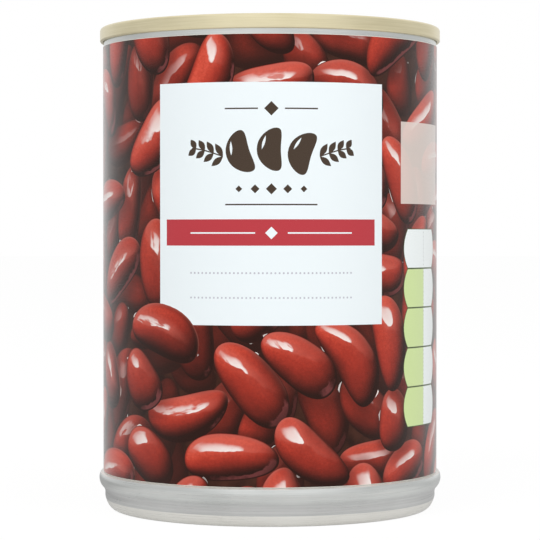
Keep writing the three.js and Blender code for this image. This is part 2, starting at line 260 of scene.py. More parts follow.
class Values:
    """A node tree in the making. Sums on its values become Math nodes."""

    def __init__(self, tree):
        self.tree = tree

    def node(self, kind, inputs=None, **settings):
        made = self.tree.nodes.new(kind)
        for name, setting in settings.items():
            setattr(made, name, setting)
        for name, value in (inputs or {}).items():
            self.feed(made.inputs[name], value)
        return made

    def feed(self, socket, value):
        if isinstance(value, Value):
            value = value.socket
        if isinstance(value, bpy.types.NodeSocket):
            self.tree.links.new(value, socket)
        else:
            socket.default_value = value

    def result(self, kind, output=0, inputs=None, **settings):
        """One output of a new node."""
        return Value(self, self.node(kind, inputs, **settings).outputs[output])

    def math(self, operation, *operands, clamp=False):
        inputs = dict(enumerate(operands))
        return self.result("ShaderNodeMath", 0, inputs, operation=operation, use_clamp=clamp)

    def smooth(self, value, low, high):
        """0 below low, 1 above high, and an S between them."""
        inputs = {"Value": value, "From Min": low, "From Max": high}
        return self.result("ShaderNodeMapRange", "Result", inputs, interpolation_type="SMOOTHSTEP")

    def fade(self, value, low, high, least):
        """The same S, from least up to 1."""
        return self.smooth(value, low, high) * (1.0 - least) + least

    def vector(self, x, y, z):
        return self.result("ShaderNodeCombineXYZ", 0, {"X": x, "Y": y, "Z": z})

    def parts(self, vector):
        made = self.node("ShaderNodeSeparateXYZ", {"Vector": vector})
        return [Value(self, s) for s in made.outputs]

    def attribute(self, name, output="Vector"):
        return self.result("ShaderNodeAttribute", output, attribute_name=name)

    def place(self):
        """Where the shaded point is on its piece, in metres."""
        return self.result("ShaderNodeTexCoord", "Object")

    def ray(self, kind):
        """1 for rays of one kind, such as those that end in a gloss."""
        return self.result("ShaderNodeLightPath", f"Is {kind} Ray")

    def noise(self, vector, scale, detail=2.0, roughness=0.5, output="Fac"):
        inputs = {"Vector": vector, "Scale": scale, "Detail": detail, "Roughness": roughness}
        return self.result("ShaderNodeTexNoise", output, inputs)

    def chances(self, seed):
        """Three random numbers from 0 to 1 that are the same wherever the seed is."""
        chance = self.result("ShaderNodeTexWhiteNoise", "Color", {"W": seed}, noise_dimensions="1D")
        return self.parts(chance)

    def blend(self, share, below, above):
        """One colour laid over another."""
        inputs = {0: share, 6: below, 7: above}
        return self.result("ShaderNodeMix", 2, inputs, data_type="RGBA")

    def ramp(self, share, stops):
        made = self.node("ShaderNodeValToRGB", {"Fac": share})
        elements = made.color_ramp.elements
        elements[0].position, elements[1].position = stops[0][0], stops[-1][0]
        for place, _ in stops[1:-1]:
            elements.new(place)
        for element, (_, shade) in zip(elements, stops):
            element.color = shade
        return Value(self, made.outputs["Color"])


def sums(operation, swapped=False):
    """A method of Value that adds one Math node."""

    def method(self, *others):
        operands = (*others, self) if swapped else (self, *others)
        return self.values.math(operation, *operands)

    return method


class Value:
    """One number, vector or colour in a node tree."""

    def __init__(self, values, socket):
        self.values = values
        self.socket = socket

    __add__ = __radd__ = sums("ADD")
    __mul__ = __rmul__ = sums("MULTIPLY")
    __sub__ = sums("SUBTRACT")
    __rsub__ = sums("SUBTRACT", swapped=True)
    __truediv__ = sums("DIVIDE")
    __pow__ = sums("POWER")
    size = sums("ABSOLUTE")
    root = sums("SQRT")
    sign = sums("SIGN")

    def __neg__(self):
        return self * -1.0

    def clamped(self):
        return self.values.math("ADD", self, 0.0, clamp=True)


def tint(red, green, blue):
    """A colour as seen, from 0 to 255, in the linear numbers that a shader takes."""
    shares = (red / 255, green / 255, blue / 255)
    linear = [s / 12.92 if s <= 0.04045 else ((s + 0.055) / 1.055) ** 2.4 for s in shares]
    return (*linear, 1.0)


# --- finishes


class Finish(Values):
    """A material in the making. Inputs of its Principled shader are set by their names."""

    def __init__(self, name, **inputs):
        self.material = bpy.data.materials.new(name)
        self.material.use_nodes = True
        super().__init__(self.material.node_tree)
        self.shader = self.tree.nodes["Principled BSDF"]
        self.set(**inputs)

    def set(self, **inputs):
        for name, value in inputs.items():
            self.feed(self.shader.inputs[name.replace("_", " ")], value)

    def relief(self, height, distance):
        inputs = {"Height": height, "Strength": 1.0, "Distance": distance}
        self.set(Normal=self.result("ShaderNodeBump", "Normal", inputs))


GRAIN_RUN, GRAIN_TURN = 45.0, 3.0  # coarseness along the grain, for each metre and each radian
GRAIN_MEETING = 0.6  # millimetres over which rolled grain gives way to turned grain
CLOUD_SIZE = 55.0
TONES_AT = 0.25, 0.75  # tones at which the darker and the lighter tint are reached
GRAIN_TONE, CLOUD_TONE, TONE_LESS = 0.6, 0.55, 0.08
GRAIN_DULLS, CLOUD_DULLS = 0.7, 0.3  # shares of the span from least to most rough


def sheet_grain(values, fineness, turned_from):
    """The fine grain of rolled sheet, straight along Y. Outside a radius, in millimetres, it runs
    round the can, as tools left it there."""
    x, y, z = values.parts(values.place())
    r = (x * x + y * y + 1e-9).root()
    rolled = values.vector(x * fineness, y * GRAIN_RUN, z * fineness)
    turned = values.vector(x / r * GRAIN_TURN, y / r * GRAIN_TURN, (z + r) * fineness)
    straight, ringed = (
        values.noise(along, 1.0, detail=3.0, roughness=0.6) for along in (rolled, turned)
    )
    outside = values.smooth(r / MM, turned_from, turned_from + GRAIN_MEETING)
    return straight + (ringed - straight) * outside


def metal(name, tones, roughness, grain, relief_depth, **inputs):
    """Metal with a grain and faint clouds. Its tone and colour are returned as well."""
    finish = Finish(name, Metallic=1.0, **inputs)
    grain = sheet_grain(finish, *grain)
    cloud = finish.noise(finish.place(), CLOUD_SIZE, detail=3.0)
    tone = (GRAIN_TONE * grain + CLOUD_TONE * cloud - TONE_LESS).clamped()
    colour = finish.ramp(tone, list(zip(TONES_AT, tones)))
    low, high = roughness
    dulled = GRAIN_DULLS * grain + CLOUD_DULLS * cloud
    finish.set(Base_Color=colour, Roughness=low + (high - low) * dulled)
    finish.relief(grain, relief_depth)
    return finish, tone, colour


TIN_TONES = tint(196, 199, 197), tint(229, 231, 229)
# Tones of the painted shade on the neck under the bead
GROOVE_SHADE_TONES = tint(177, 178, 177), tint(220, 221, 220)
# Pale tones of the lacquered foot, and of the painted highlight where the label starts
LACQUER_AND_HIGHLIGHT_TONES = tint(218, 216, 210), tint(236, 235, 230)
GOLD_TONES = tint(220, 209, 170), tint(246, 236, 202)
TAB_TONES = tint(198, 200, 198), tint(232, 233, 231)

# Least and most roughness, fineness of the grain for each metre, and depth of its relief.
TIN_ROUGH, GOLD_ROUGH, TAB_ROUGH = (0.2, 0.38), (0.26, 0.42), (0.18, 0.32)
TIN_FINE, GOLD_FINE, TAB_FINE = 5200.0, 3600.0, 4000.0
TIN_RELIEF, COATED_RELIEF = 4e-6, 3e-6
COAT, GOLD_COAT_ROUGH, TAB_COAT_ROUGH = 0.2, 0.2, 0.12
LINES_FINE = 1.1  # of the drawn lines, for each millimetre of height
GROOVE_SHADE_AT = 0.3, 0.7
LESS_METAL_WHERE_PALE = 0.75  # less metal on the pale lacquered foot and on the painted highlight under the label

# Heights above the floor, each with where one look starts to give way and where it has.
# Top of the lacquered foot, kept pale as painted light for the floor it would reflect
LACQUER_TOP = 2.35, 2.5
# Where the painted shade on the neck under the bead starts and ends
GROOVE_SHADE_FROM, GROOVE_SHADE_TO = (2.4, 2.5), (4.7, 5.9)
# A thin pale line of painted highlight where the label starts
PALE_LINE_FROM, PALE_LINE_TO = (8.13, 8.2), (8.38, 8.48)


def tinplate():
    """Bare tin, with painted shade in a band above its foot, where the neck under the bead would
    reflect the shaded floor. Its lacquered foot is pale and less metallic, partly lacquer and
    partly painted light for the bright floor that it would reflect, and so is a thin line where
    the label starts, which is a painted highlight."""
    finish, tone, colour = metal(
        "tinplate", TIN_TONES, TIN_ROUGH, (TIN_FINE, BASE_GRAIN_TO), TIN_RELIEF
    )
    z = finish.parts(finish.place())[2] / MM
    # Painted shade: darker, streaked tones in a band on the neck under the bead
    groove_shade = finish.smooth(z, *GROOVE_SHADE_FROM) * (1.0 - finish.smooth(z, *GROOVE_SHADE_TO))
    # Painted highlight: a pale line where the label starts, less metallic like the foot
    pale_line = finish.smooth(z, *PALE_LINE_FROM) * (1.0 - finish.smooth(z, *PALE_LINE_TO))
    foot_and_pale_line = 1.0 - finish.smooth(z, *LACQUER_TOP) + pale_line
    lines = finish.noise(finish.vector(0.0, 0.0, z), LINES_FINE)
    darkening = finish.ramp(tone * 0.5 + lines * 0.5, list(zip(GROOVE_SHADE_AT, GROOVE_SHADE_TONES)))
    lacquer_and_highlight = finish.ramp(tone, list(zip(TONES_AT, LACQUER_AND_HIGHLIGHT_TONES)))
    colour = finish.blend(foot_and_pale_line, finish.blend(groove_shade, colour, darkening), lacquer_and_highlight)
    finish.set(Base_Color=colour, Metallic=1.0 - LESS_METAL_WHERE_PALE * foot_and_pale_line)
    return finish.material


def coated_metal(name, tones, roughness, grain, coat_roughness):
    coat = {"Coat_Weight": COAT, "Coat_Roughness": coat_roughness}
    return metal(name, tones, roughness, grain, COATED_RELIEF, **coat)[0].material


def gold_lacquer():
    grain = GOLD_FINE, chuck_mid
    return coated_metal("gold_lacquer", GOLD_TONES, GOLD_ROUGH, grain, GOLD_COAT_ROUGH)


def tab_steel():
    grain = TAB_FINE, BODY_RADIUS
    return coated_metal("tab_steel", TAB_TONES, TAB_ROUGH, grain, TAB_COAT_ROUGH)


# --- the bean picture, as shaded

# A bean's outline is |l|^ALONG + |q|^ACROSS = 1 along and across it, in its half-lengths. Across
# is bent by its bend and narrows towards one end by its taper.
ALONG, ACROSS = 2.4, 2.1
BEND_MID = 0.35  # of the squared length, so that a bent bean keeps its middle in place
BEAN_THICKNESS = 0.95  # of its half-width

# How the tone of the skin is made up.
BRIGHT, BRIGHT_BY_LEVEL, BRIGHT_BY_CHANCE = 0.62, 0.22, 0.2
MOTTLE, FIBRE, SPECKS = 0.44, 0.22, 0.14

# Noise: waves, mottle, specks, ragged edges and murk are this fine for each millimetre. Fibres
# and streaks are this fine along and across a bean.
WAVES_FINE, MOTTLE_FINE, SPECKS_FINE, RAGGED_FINE, MURK_FINE = 0.3, 1.6, 4.2, 0.5, 0.25
FIBRE_FINE, STREAKS_FINE = (1.4, 5.0), (2.6, 4.2)
UNEVEN = 0.4  # how far the waves tilt the surface

# Where one look starts and where it is full. A third number is what is left before the start.
ON_BEAN = -0.2, -0.1
LIT = -0.12, 0.98
AWAY_FROM_EDGE = 0.0, 0.65, 0.44
ABOVE_MURK = 0.0, 0.75, 0.45
NEAR_TOP = 0.2, 0.8
SPECKLED = 0.64, 0.76
UNBROKEN, NEVER_BROKEN = (0.36, 0.52), (0.7, 0.62)
GLOW_FADES = 0.3, 2.8
GLOW_ABOVE = -0.3, 0.2, 0.25
GLINT_FACES = 0.62, 0.72
RIM_SHOWN = 0.15, 0.4

MURK = [(0.3, tint(40, 23, 18)), (0.7, tint(72, 42, 32))]
DEPTH_TINT = tint(54, 30, 24)
SKIN = [
    (0.0, tint(44, 23, 18)),
    (0.18, tint(80, 31, 25)),
    (0.36, tint(114, 40, 31)),
    (0.54, tint(144, 47, 36)),
    (0.72, tint(172, 56, 42)),
    (0.88, tint(196, 68, 50)),
    (1.0, tint(216, 84, 64)),
]
GLOW = tint(214, 112, 98)
GLINT = tint(252, 244, 240)
MAUVE = tint(142, 74, 74)

KEY_LIGHT = Vector((-0.44, 0.66, 0.61)).normalized()
SOFT_BOX = {"u": -0.22, "z": 0.54, "wide": 0.52, "high": 0.26}
BOX_STRAY, BOX_LEAN = 0.36, 0.9  # how far its place and its slant vary from bean to bean
RIM_BAND = (0.6, 0.84)
GLOW_SHARE, RIM_SHARE = 0.58, 0.55
MORE_CHANCES = 500.0  # added to a seed for a second set, and more than the number of beans
LEAST_FACING = 0.001  # how far the very edge of a bean still faces the eye
SHADE_POWER = 0.8  # under 1, so that skin takes shadow less than glints do

# How crisp a glint is in its middle, how much more so rightwards and how much less upwards.
CRISP_MID, CRISP_RIGHT, CRISP_UP = 0.5, 0.25, 0.4
GLINT_SIZE, GLINT_SIZE_VARIES = 0.55, 0.75
GLINT_SQUARE = 3.0  # the power of its outline, where 2 would give an oval
GLINT_SOFT, GLINT_SOFTENS, GLINT_SOFT_OUTSIDE = 0.18, 1.15, 0.6
GLINT_DIM, GLINT_BRIGHTENS = 0.5, 0.44
GLINT_SHADE, GLINT_SHADE_LESS = 1.4, 0.4

# The mauve rim: which way it lies, how it strays and frays, how soft its inner side, its outer
# side and its ends are, and how far round it starts.
RIM_RIGHT, RIM_DOWN = 0.72, 0.69
RIM_STRAY, RIM_FRAY = 0.14, 0.5
RIM_SOFT_INSIDE, RIM_SOFT_OUTSIDE, RIM_SOFT_ENDS = 0.07, 0.1, 0.25
RIM_ROUND, RIM_ROUND_VARIES = 0.5, 0.45


def bean_picture(values):
    """The colour of the bean picture, from what each face of the print knows of its bean."""
    l, t, depth = values.parts(values.attribute("bean_at"))
    half_length, half_width, bend = values.parts(values.attribute("bean_form"))
    cos, sin, seed = values.parts(values.attribute("bean_turn"))
    taper, shade = values.attribute("bean_taper", "Fac"), values.attribute("bean_shade", "Fac")
    place = values.attribute("print_place")
    on_bean = values.smooth(depth, *ON_BEAN)
    seed = values.math("ROUND", seed)
    tone_chance, left_chance, up_chance = values.chances(seed)
    size_chance, broken_chance, turn_chance = values.chances(seed + MORE_CHANCES)

    # The bean as a swollen shape, and the way that its surface faces.
    fullness = 1.0 + taper * l
    q = (t + bend * (l * l - BEND_MID)) / fullness
    out = l.size() ** ALONG + q.size() ** ACROSS
    height = (1.0 - out).clamped().root()
    slope_l = l.sign() * l.size() ** (ALONG - 1) * ALONG
    slope_q = q.sign() * q.size() ** (ACROSS - 1) * ACROSS
    wave_l, wave_q, _ = values.parts(values.noise(place, WAVES_FINE, output="Color"))
    swell = half_width * BEAN_THICKNESS
    lengthways = slope_l + slope_q * (bend * l * 2.0 - taper * q) / fullness
    along = swell * lengthways / half_length + (wave_l - 0.5) * UNEVEN
    across = slope_q * BEAN_THICKNESS / fullness + (wave_q - 0.5) * UNEVEN
    facing = height * 2.0 + LEAST_FACING
    length = (along * along + across * across + facing * facing).root()
    along, across, facing = along / length, across / length, facing / length
    right = cos * along - sin * across
    up = sin * along + cos * across

    # Skin, darker towards its edge, lower right and where other beans cover it.
    lit = right * KEY_LIGHT.x + up * KEY_LIGHT.y + facing * KEY_LIGHT.z
    tone = values.smooth(lit, *LIT) * values.fade(facing, *AWAY_FROM_EDGE)
    bright = BRIGHT + BRIGHT_BY_LEVEL * depth + BRIGHT_BY_CHANCE * tone_chance
    mottle = values.noise(place, MOTTLE_FINE, detail=3.0, roughness=0.65) - 0.5
    specks = values.smooth(values.noise(place, SPECKS_FINE, detail=1.0), *SPECKLED)
    strands = values.vector(l * FIBRE_FINE[0], q * FIBRE_FINE[1], seed)
    fibre = values.noise(strands, 1.0, detail=3.0) - 0.5
    tone = tone * (bright + mottle * MOTTLE + fibre * FIBRE + specks * SPECKS) * shade**SHADE_POWER
    skin = values.ramp(tone, SKIN)
    skin = values.blend(values.fade(depth, *ABOVE_MURK), DEPTH_TINT, skin)
    murk = values.ramp(values.noise(place, MURK_FINE), MURK)
    colour = values.blend(on_bean, murk, skin)

    # The soft box that they reflect, with a glow round it.
    box_right = 2.0 * facing * right + BOX_STRAY * (left_chance - 0.5) - SOFT_BOX["u"]
    box_up = 2.0 * facing * up + BOX_STRAY * (up_chance - 0.5) - SOFT_BOX["z"]
    lean = (turn_chance - 0.5) * BOX_LEAN
    lean_cos, lean_sin = values.math("COSINE", lean), values.math("SINE", lean)
    box_x = (box_right * lean_cos - box_up * lean_sin) / SOFT_BOX["wide"]
    box_y = (box_right * lean_sin + box_up * lean_cos) / SOFT_BOX["high"]
    glow_reach = (box_x * box_x + box_y * box_y).root()
    near_top = on_bean * values.smooth(depth, *NEAR_TOP)
    crisp = (CRISP_MID + CRISP_RIGHT * box_x - CRISP_UP * box_y).clamped()
    size = GLINT_SIZE + GLINT_SIZE_VARIES * size_chance
    above = values.fade(box_y + size, *GLOW_ABOVE)
    glow = (1.0 - values.smooth(glow_reach, *GLOW_FADES)) * above * near_top * shade
    glow = glow * GLOW_SHARE
    colour = values.blend(glow, colour, GLOW)

    soft = GLINT_SOFT + (1.0 - crisp) * GLINT_SOFTENS
    reach = box_x.size() ** GLINT_SQUARE + box_y.size() ** GLINT_SQUARE
    glint = 1.0 - values.smooth(reach, size - soft, size + soft * GLINT_SOFT_OUTSIDE)
    glint = glint * (GLINT_DIM + GLINT_BRIGHTENS * crisp) * values.smooth(facing, *GLINT_FACES)
    streaks = values.vector(l * STREAKS_FINE[0], t * STREAKS_FINE[1], seed)
    whole = values.smooth(values.noise(streaks, 1.0, detail=2.0), *UNBROKEN)
    whole = (whole + values.smooth(broken_chance, *NEVER_BROKEN)).clamped()
    glint = glint * whole * (shade * GLINT_SHADE - GLINT_SHADE_LESS).clamped() * near_top
    colour = values.blend(glint, colour, GLINT)

    # A dull mauve reflection along part of the lower right edge, ragged on its inner side.
    flat = (right * right + up * up + 1e-6).root()
    lower_right = (RIM_RIGHT * right - RIM_DOWN * up) / flat
    wander = values.noise(place, RAGGED_FINE, detail=3.0) - 0.5
    inner = RIM_BAND[0] + RIM_STRAY * (turn_chance - 0.5) + RIM_FRAY * wander
    band = values.smooth(out, inner, inner + RIM_SOFT_INSIDE)
    band = band * (1.0 - values.smooth(out, RIM_BAND[1], RIM_BAND[1] + RIM_SOFT_OUTSIDE))
    reach = RIM_ROUND + RIM_ROUND_VARIES * size_chance
    band = band * values.smooth(lower_right + RIM_FRAY * wander, reach, reach + RIM_SOFT_ENDS)
    band = band * values.smooth(broken_chance, *RIM_SHOWN) * near_top * shade * RIM_SHARE
    return values.blend(band, colour, MAUVE)


PAPER_WHITE = tint(250, 248, 244)  # glimpsed between the dots of ink
PAPER_FINE, SCREEN_FINE = 5.0, 9.0  # fibres and dots of ink, for each millimetre
SCREEN_SHOWS = 0.04
PAPER_ROUGH, FIBRE_ROUGHENS, PAPER_RELIEF = 0.2, 0.14, 3e-6


def printed_paper():
    finish = Finish(
        "printed_paper",
        IOR=1.6,
        Specular_Tint=(0.1, 0.1, 0.1, 1),
        Sheen_Weight=1.0,
        Sheen_Roughness=0.3,
    )
    cover, hue = finish.attribute("ink", "Alpha"), finish.attribute("ink", "Color")
    colour = finish.blend(cover, bean_picture(finish), hue)
    place = finish.attribute("print_place")
    fibre = finish.noise(place, PAPER_FINE, detail=4.0, roughness=0.6)
    screen = finish.noise(place, SCREEN_FINE, detail=1.0)
    colour = finish.blend(((screen - 0.5) * SCREEN_SHOWS).clamped(), colour, PAPER_WHITE)
    finish.set(Base_Color=colour, Roughness=PAPER_ROUGH + FIBRE_ROUGHENS * fibre)
    finish.relief(fibre, PAPER_RELIEF)
    return finish.material


# --- turned pieces

SWEEP_RADIUS = 1.0  # of the circle that a section is swept along
WELL_INPUTS = ["Well Depth", "Well Length", "Well Width", "Well Y"]


def turning_tree():
    """Geometry Nodes that turn a section about the Z axis and press a dished well into it."""
    tree = bpy.data.node_groups.new("turned_piece", "GeometryNodeTree")
    taken = {
        "Geometry": ["Section"],
        "Int": ["Segments"],
        "Float": WELL_INPUTS,
        "Vector": ["Place"],
        "Material": ["Finish"],
    }
    face = tree.interface
    for kind, names in taken.items():
        for name in names:
            face.new_socket(name=name, in_out="INPUT", socket_type="NodeSocket" + kind)
    face.new_socket(name="Piece", in_out="OUTPUT", socket_type="NodeSocketGeometry")
    values = Values(tree)
    given = {s.name: Value(values, s) for s in values.node("NodeGroupInput").outputs}

    def geometry(kind, inputs, **settings):
        return values.result("GeometryNode" + kind, 0, inputs, **settings)

    section = geometry("MeshToCurve", {"Mesh": given["Section"]})
    circle_sizes = {"Resolution": given["Segments"], "Radius": SWEEP_RADIUS * MM}
    circle = geometry("CurvePrimitiveCircle", circle_sizes)
    upright = geometry("SetCurveNormal", {"Curve": circle}, mode="Z_UP")
    turned = geometry("CurveToMesh", {"Curve": upright, "Profile Curve": section})
    closed = geometry("MergeByDistance", {"Geometry": turned, "Distance": 1e-7})

    x, y, _ = values.parts(values.result("GeometryNodeInputPosition"))
    share_x = x / (given["Well Width"] * 0.5)
    share_y = (y - given["Well Y"]) / (given["Well Length"] * 0.5)
    reach = (share_x * share_x + share_y * share_y).root()
    drop = (1.0 - values.smooth(reach, WELL_FLOOR, 1.0)) * given["Well Depth"]
    down = values.vector(0.0, 0.0, -drop)
    shift = values.result("ShaderNodeVectorMath", 0, {0: down, 1: given["Place"]})
    moved = geometry("SetPosition", {"Geometry": closed, "Offset": shift})

    angle = values.result("GeometryNodeInputMeshEdgeAngle", "Unsigned Angle")
    crease = values.math("GREATER_THAN", angle, math.radians(CREASE))
    smooth = geometry("SetShadeSmooth", {"Geometry": moved})
    creased = geometry(
        "SetShadeSmooth",
        {"Geometry": smooth, "Selection": crease, "Shade Smooth": False},
        domain="EDGE",
    )
    finished = geometry("SetMaterial", {"Geometry": creased, "Material": given["Finish"]})
    values.feed(values.node("NodeGroupOutput").inputs["Piece"], finished)
    return tree


def turn(name, section, finish, segments=TURNS, place=(0, 0, 0), well=(0, 1, 1, 0)):
    """A piece turned from a section of (radius, height) points, given from the axis out, up and
    back to it. The result is a plain mesh."""
    points = [((r - SWEEP_RADIUS) * MM, -z * MM, 0) for r, z in reversed(section)]
    wire = bpy.data.meshes.new(name + "_section")
    wire.from_pydata(points, [(i, i + 1) for i in range(len(points) - 1)], [])
    source = new_object(name + "_source", wire)
    nodes = source.modifiers.new("turned", "NODES")
    nodes.node_group = turning
    inputs = {socket: size * MM for socket, size in zip(WELL_INPUTS, well)}
    inputs |= {"Segments": segments, "Place": tuple(c * MM for c in place), "Finish": finish}
    for item in turning.interface.items_tree:
        if item.name in inputs:
            nodes[item.identifier] = inputs[item.name]
    graph = bpy.context.evaluated_depsgraph_get()
    result = bpy.data.meshes.new_from_object(source.evaluated_get(graph))
    result.name = name
    bpy.data.objects.remove(source)
    return new_object(name, result)


def underside():
    centre = foot_radius - BASE_CENTRE_INSET
    bead = foot_radius - BASE_BEAD_INSET
    half, flat = BASE_BEAD_WIDTH / 2, BASE_BEAD_FLAT / 2
    rise = BASE_PANEL_RISE
    low = rise - BASE_BEAD_DROP
    high = rise + BASE_CENTRE_RISE
    ring_inside = foot_radius - FOOT_WIDTH / 2
    wall_top = ring_inside - FOOT_WALL_RUN
    corner = BASE_CORNER
    return [
        *level(high, 0, centre / 2, centre - BASE_CENTRE_STEP),
        *pressed(centre - BASE_CENTRE_STEP, high, centre, rise),
        *level(rise, centre, bead - half),
        *pressed(bead - half, rise, bead - flat, low),
        *level(low, bead - flat, bead + flat),
        *pressed(bead + flat, low, bead + half, rise),
        *level(rise, bead + half, wall_top - 2 * corner),
        *arc(wall_top - corner, rise - corner, corner, 90, BASE_CORNER_LEAN, 6),
        *pressed(
            wall_top,
            rise - BASE_CORNER_DROP * corner,
            ring_inside - FOOT_WALL_RUN / 4,
            FOOT_WALL_END,
        ),
        *arc(ring_inside, FOOT_ROUND, FOOT_ROUND, FOOT_ROUND_FROM, 270, 5),
    ]


def foot_neck_and_bead():
    ring_outside = foot_radius + FOOT_WIDTH / 2
    foot_reach = (neck_radius - ring_outside) / math.cos(math.radians(FOOT_LEAN))
    foot_depth = FOOT_RISE / (1 - math.sin(math.radians(FOOT_LEAN)))
    foot = arc(ring_outside, foot_depth, foot_reach, -90, -FOOT_LEAN, 16, foot_depth)

    # The hollow touches the upright neck and the round of the bead.
    bead_mid = BODY_RADIUS + BEAD_PROUD - BEAD_RADIUS
    hollow_mid = neck_radius + NECK_FILLET
    run = hollow_mid - bead_mid
    drop = math.sqrt((BEAD_RADIUS + NECK_FILLET) ** 2 - run**2)
    meeting = math.degrees(math.atan2(drop, run))
    hollow = arc(hollow_mid, BEAD_HEIGHT - drop, NECK_FILLET, 180, 180 - meeting, 8)
    bead = arc(bead_mid, BEAD_HEIGHT, BEAD_RADIUS, -meeting, BEAD_SHOULDER, 28)
    return [*foot, *hollow[:-1], *bead, (BODY_RADIUS, wall_foot_z)]


def flange():
    """The rim of the body, turned out and down over the hook of the end."""
    half = BODY_PLATE / 2
    return [
        *arc(seam_bend_mid, seam_bend_z, flange_bend_radius - half, 180, 0, 12),
        (body_hook_mid - half, body_hook_end_z),
        (body_hook_mid + half, body_hook_end_z),
        *arc(seam_bend_mid, seam_bend_z, flange_bend_radius + half, 0, 180, 14),
    ]


def can_body():
    section = [
        *underside(),
        *foot_neck_and_bead(),
        *flange(),
        (BODY_RADIUS - BODY_PLATE, contents_z),
        (0, contents_z),
    ]
    return turn("drawn_body", section, tinplate())


def end_line():
    """The middle of the end's plate, from the axis out to the tip of its hook."""
    half = END_PLATE / 2
    sink_radius = COUNTERSINK_WIDTH / 2
    sink_mid = panel_wall_mid + sink_radius
    sink_z = countersink_z - half + sink_radius
    corner_z = panel_z - half - PANEL_CORNER
    rise = max(sink_z - corner_z, 0)
    bend = math.degrees(2 * math.atan2(rise, sink_mid - panel_edge))
    pad_edge = centre_pad_radius - CENTRE_PAD_STEP
    pad = [pad_edge * i / CENTRE_PAD_RINGS for i in range(CENTRE_PAD_RINGS + 1)]
    score = (score_radius - SCORE_WIDTH / 2, score_radius, score_radius + SCORE_WIDTH / 2)
    curl_mid = (seam_wall_mid + end_hook_mid) / 2
    return [
        *level(centre_pad_z - half, *pad),
        *pressed(pad_edge, centre_pad_z - half, centre_pad_radius, recess_z - half),
        *level(recess_z - half, centre_pad_radius, recess_radius - RECESS_STEP),
        *pressed(recess_radius - RECESS_STEP, recess_z - half, recess_radius, panel_z - half),
        *level(panel_z - half, recess_radius, *score),
        *arc(panel_edge, corner_z, PANEL_CORNER, 90, bend, 8),
        *arc(sink_mid, sink_z, sink_radius, 180 + bend, 360 - CHUCK_WALL_LEAN, 20),
        *arc(seam_bend_mid, seam_bend_z, seam_bend_radius, 180 - CHUCK_WALL_LEAN, 0, 22),
        *arc(curl_mid, curl_bend_z, curl_bend_radius, 360, 180, 14),
        (end_hook_mid, end_hook_end_z),
    ]


def easy_open_end():
    upper, lower = plate_outline(end_line(), END_PLATE)
    # The tear line is a V cut into the upper face.
    cut = np.abs(upper[:, 0] - score_radius) < 1e-6
    upper[cut, 1] -= SCORE_CUT
    section = [tuple(p) for p in lower] + [tuple(p) for p in upper[::-1]]
    well = (WELL_DEPTH, WELL_LENGTH + 2 * WELL_RIM, WELL_WIDTH + 2 * WELL_RIM, well_y)
    return turn("seamed_end", section, gold_lacquer(), well=well)


def rivet():
    """Boss, shank and head, standing in the upper face of the panel."""
    root = recess_z - END_PLATE / 2
    boss_z = TAB_Z - RIVET_GAP
    head_z = TAB_Z + TAB_WEB + RIVET_GAP
    top_z = head_z + RIVET_HEAD_THICKNESS
    dimple_z = top_z - RIVET_DIMPLE
    head = RIVET_HEAD / 2
    edge = RIVET_HEAD_THICKNESS / 2
    section = [
        *level(root, 0, RIVET_BOSS_FOOT / 2),
        (RIVET_BOSS_FOOT / 2, recess_z),
        *pressed(RIVET_BOSS_FOOT / 2, recess_z, RIVET_BOSS_TOP / 2, boss_z, 10),
        *level(boss_z, RIVET_BOSS_TOP / 2, RIVET_SHANK / 2),
        (RIVET_SHANK / 2, head_z),
        *arc(head - edge, head_z + edge, edge, -90, 90, 12),
        (head * DIMPLE_EDGE, top_z),
        *pressed(head * DIMPLE_EDGE, top_z, head * DIMPLE_FLOOR, dimple_z),
        *level(dimple_z, head * DIMPLE_FLOOR, 0),
    ]
    return turn("rivet", section, gold_lacquer(), segments=RIVET_TURNS, place=(0, rivet_y, 0))


# --- ring pull


class Surface:
    """Points and faces of a closed skin that is put together from loops."""

    def __init__(self):
        self.points = []
        self.faces = []

    def loop(self, outline, z):
        first = len(self.points)
        self.points += [(x, y, z) for x, y in outline]
        return list(range(first, len(self.points)))

    def strip(self, low, high):
        """Faces between two loops of one length. Seen from high, they look right of low's way."""
        for i in range(len(low)):
            j = (i + 1) % len(low)
            self.faces.append((low[i], low[j], high[j], high[i]))

    def fill(self, border, holes, upwards):
        """Triangles over the inside of a border loop, less its holes."""
        flat, index, faces = [], [], []
        for ring in (border, *holes):
            faces.append(list(range(len(flat), len(flat) + len(ring))))
            flat += [Vector(self.points[i][:2]) for i in ring]
            index += ring
        _, _, triangles, sources, _, owners = delaunay_2d_cdt(flat, [], faces, 0, 1e-7, True)
        for triangle, owner in zip(triangles, owners):
            if list(owner) == [0]:
                corners = [index[sources[v][0]] for v in triangle]
                self.faces.append(corners if upwards else corners[::-1])


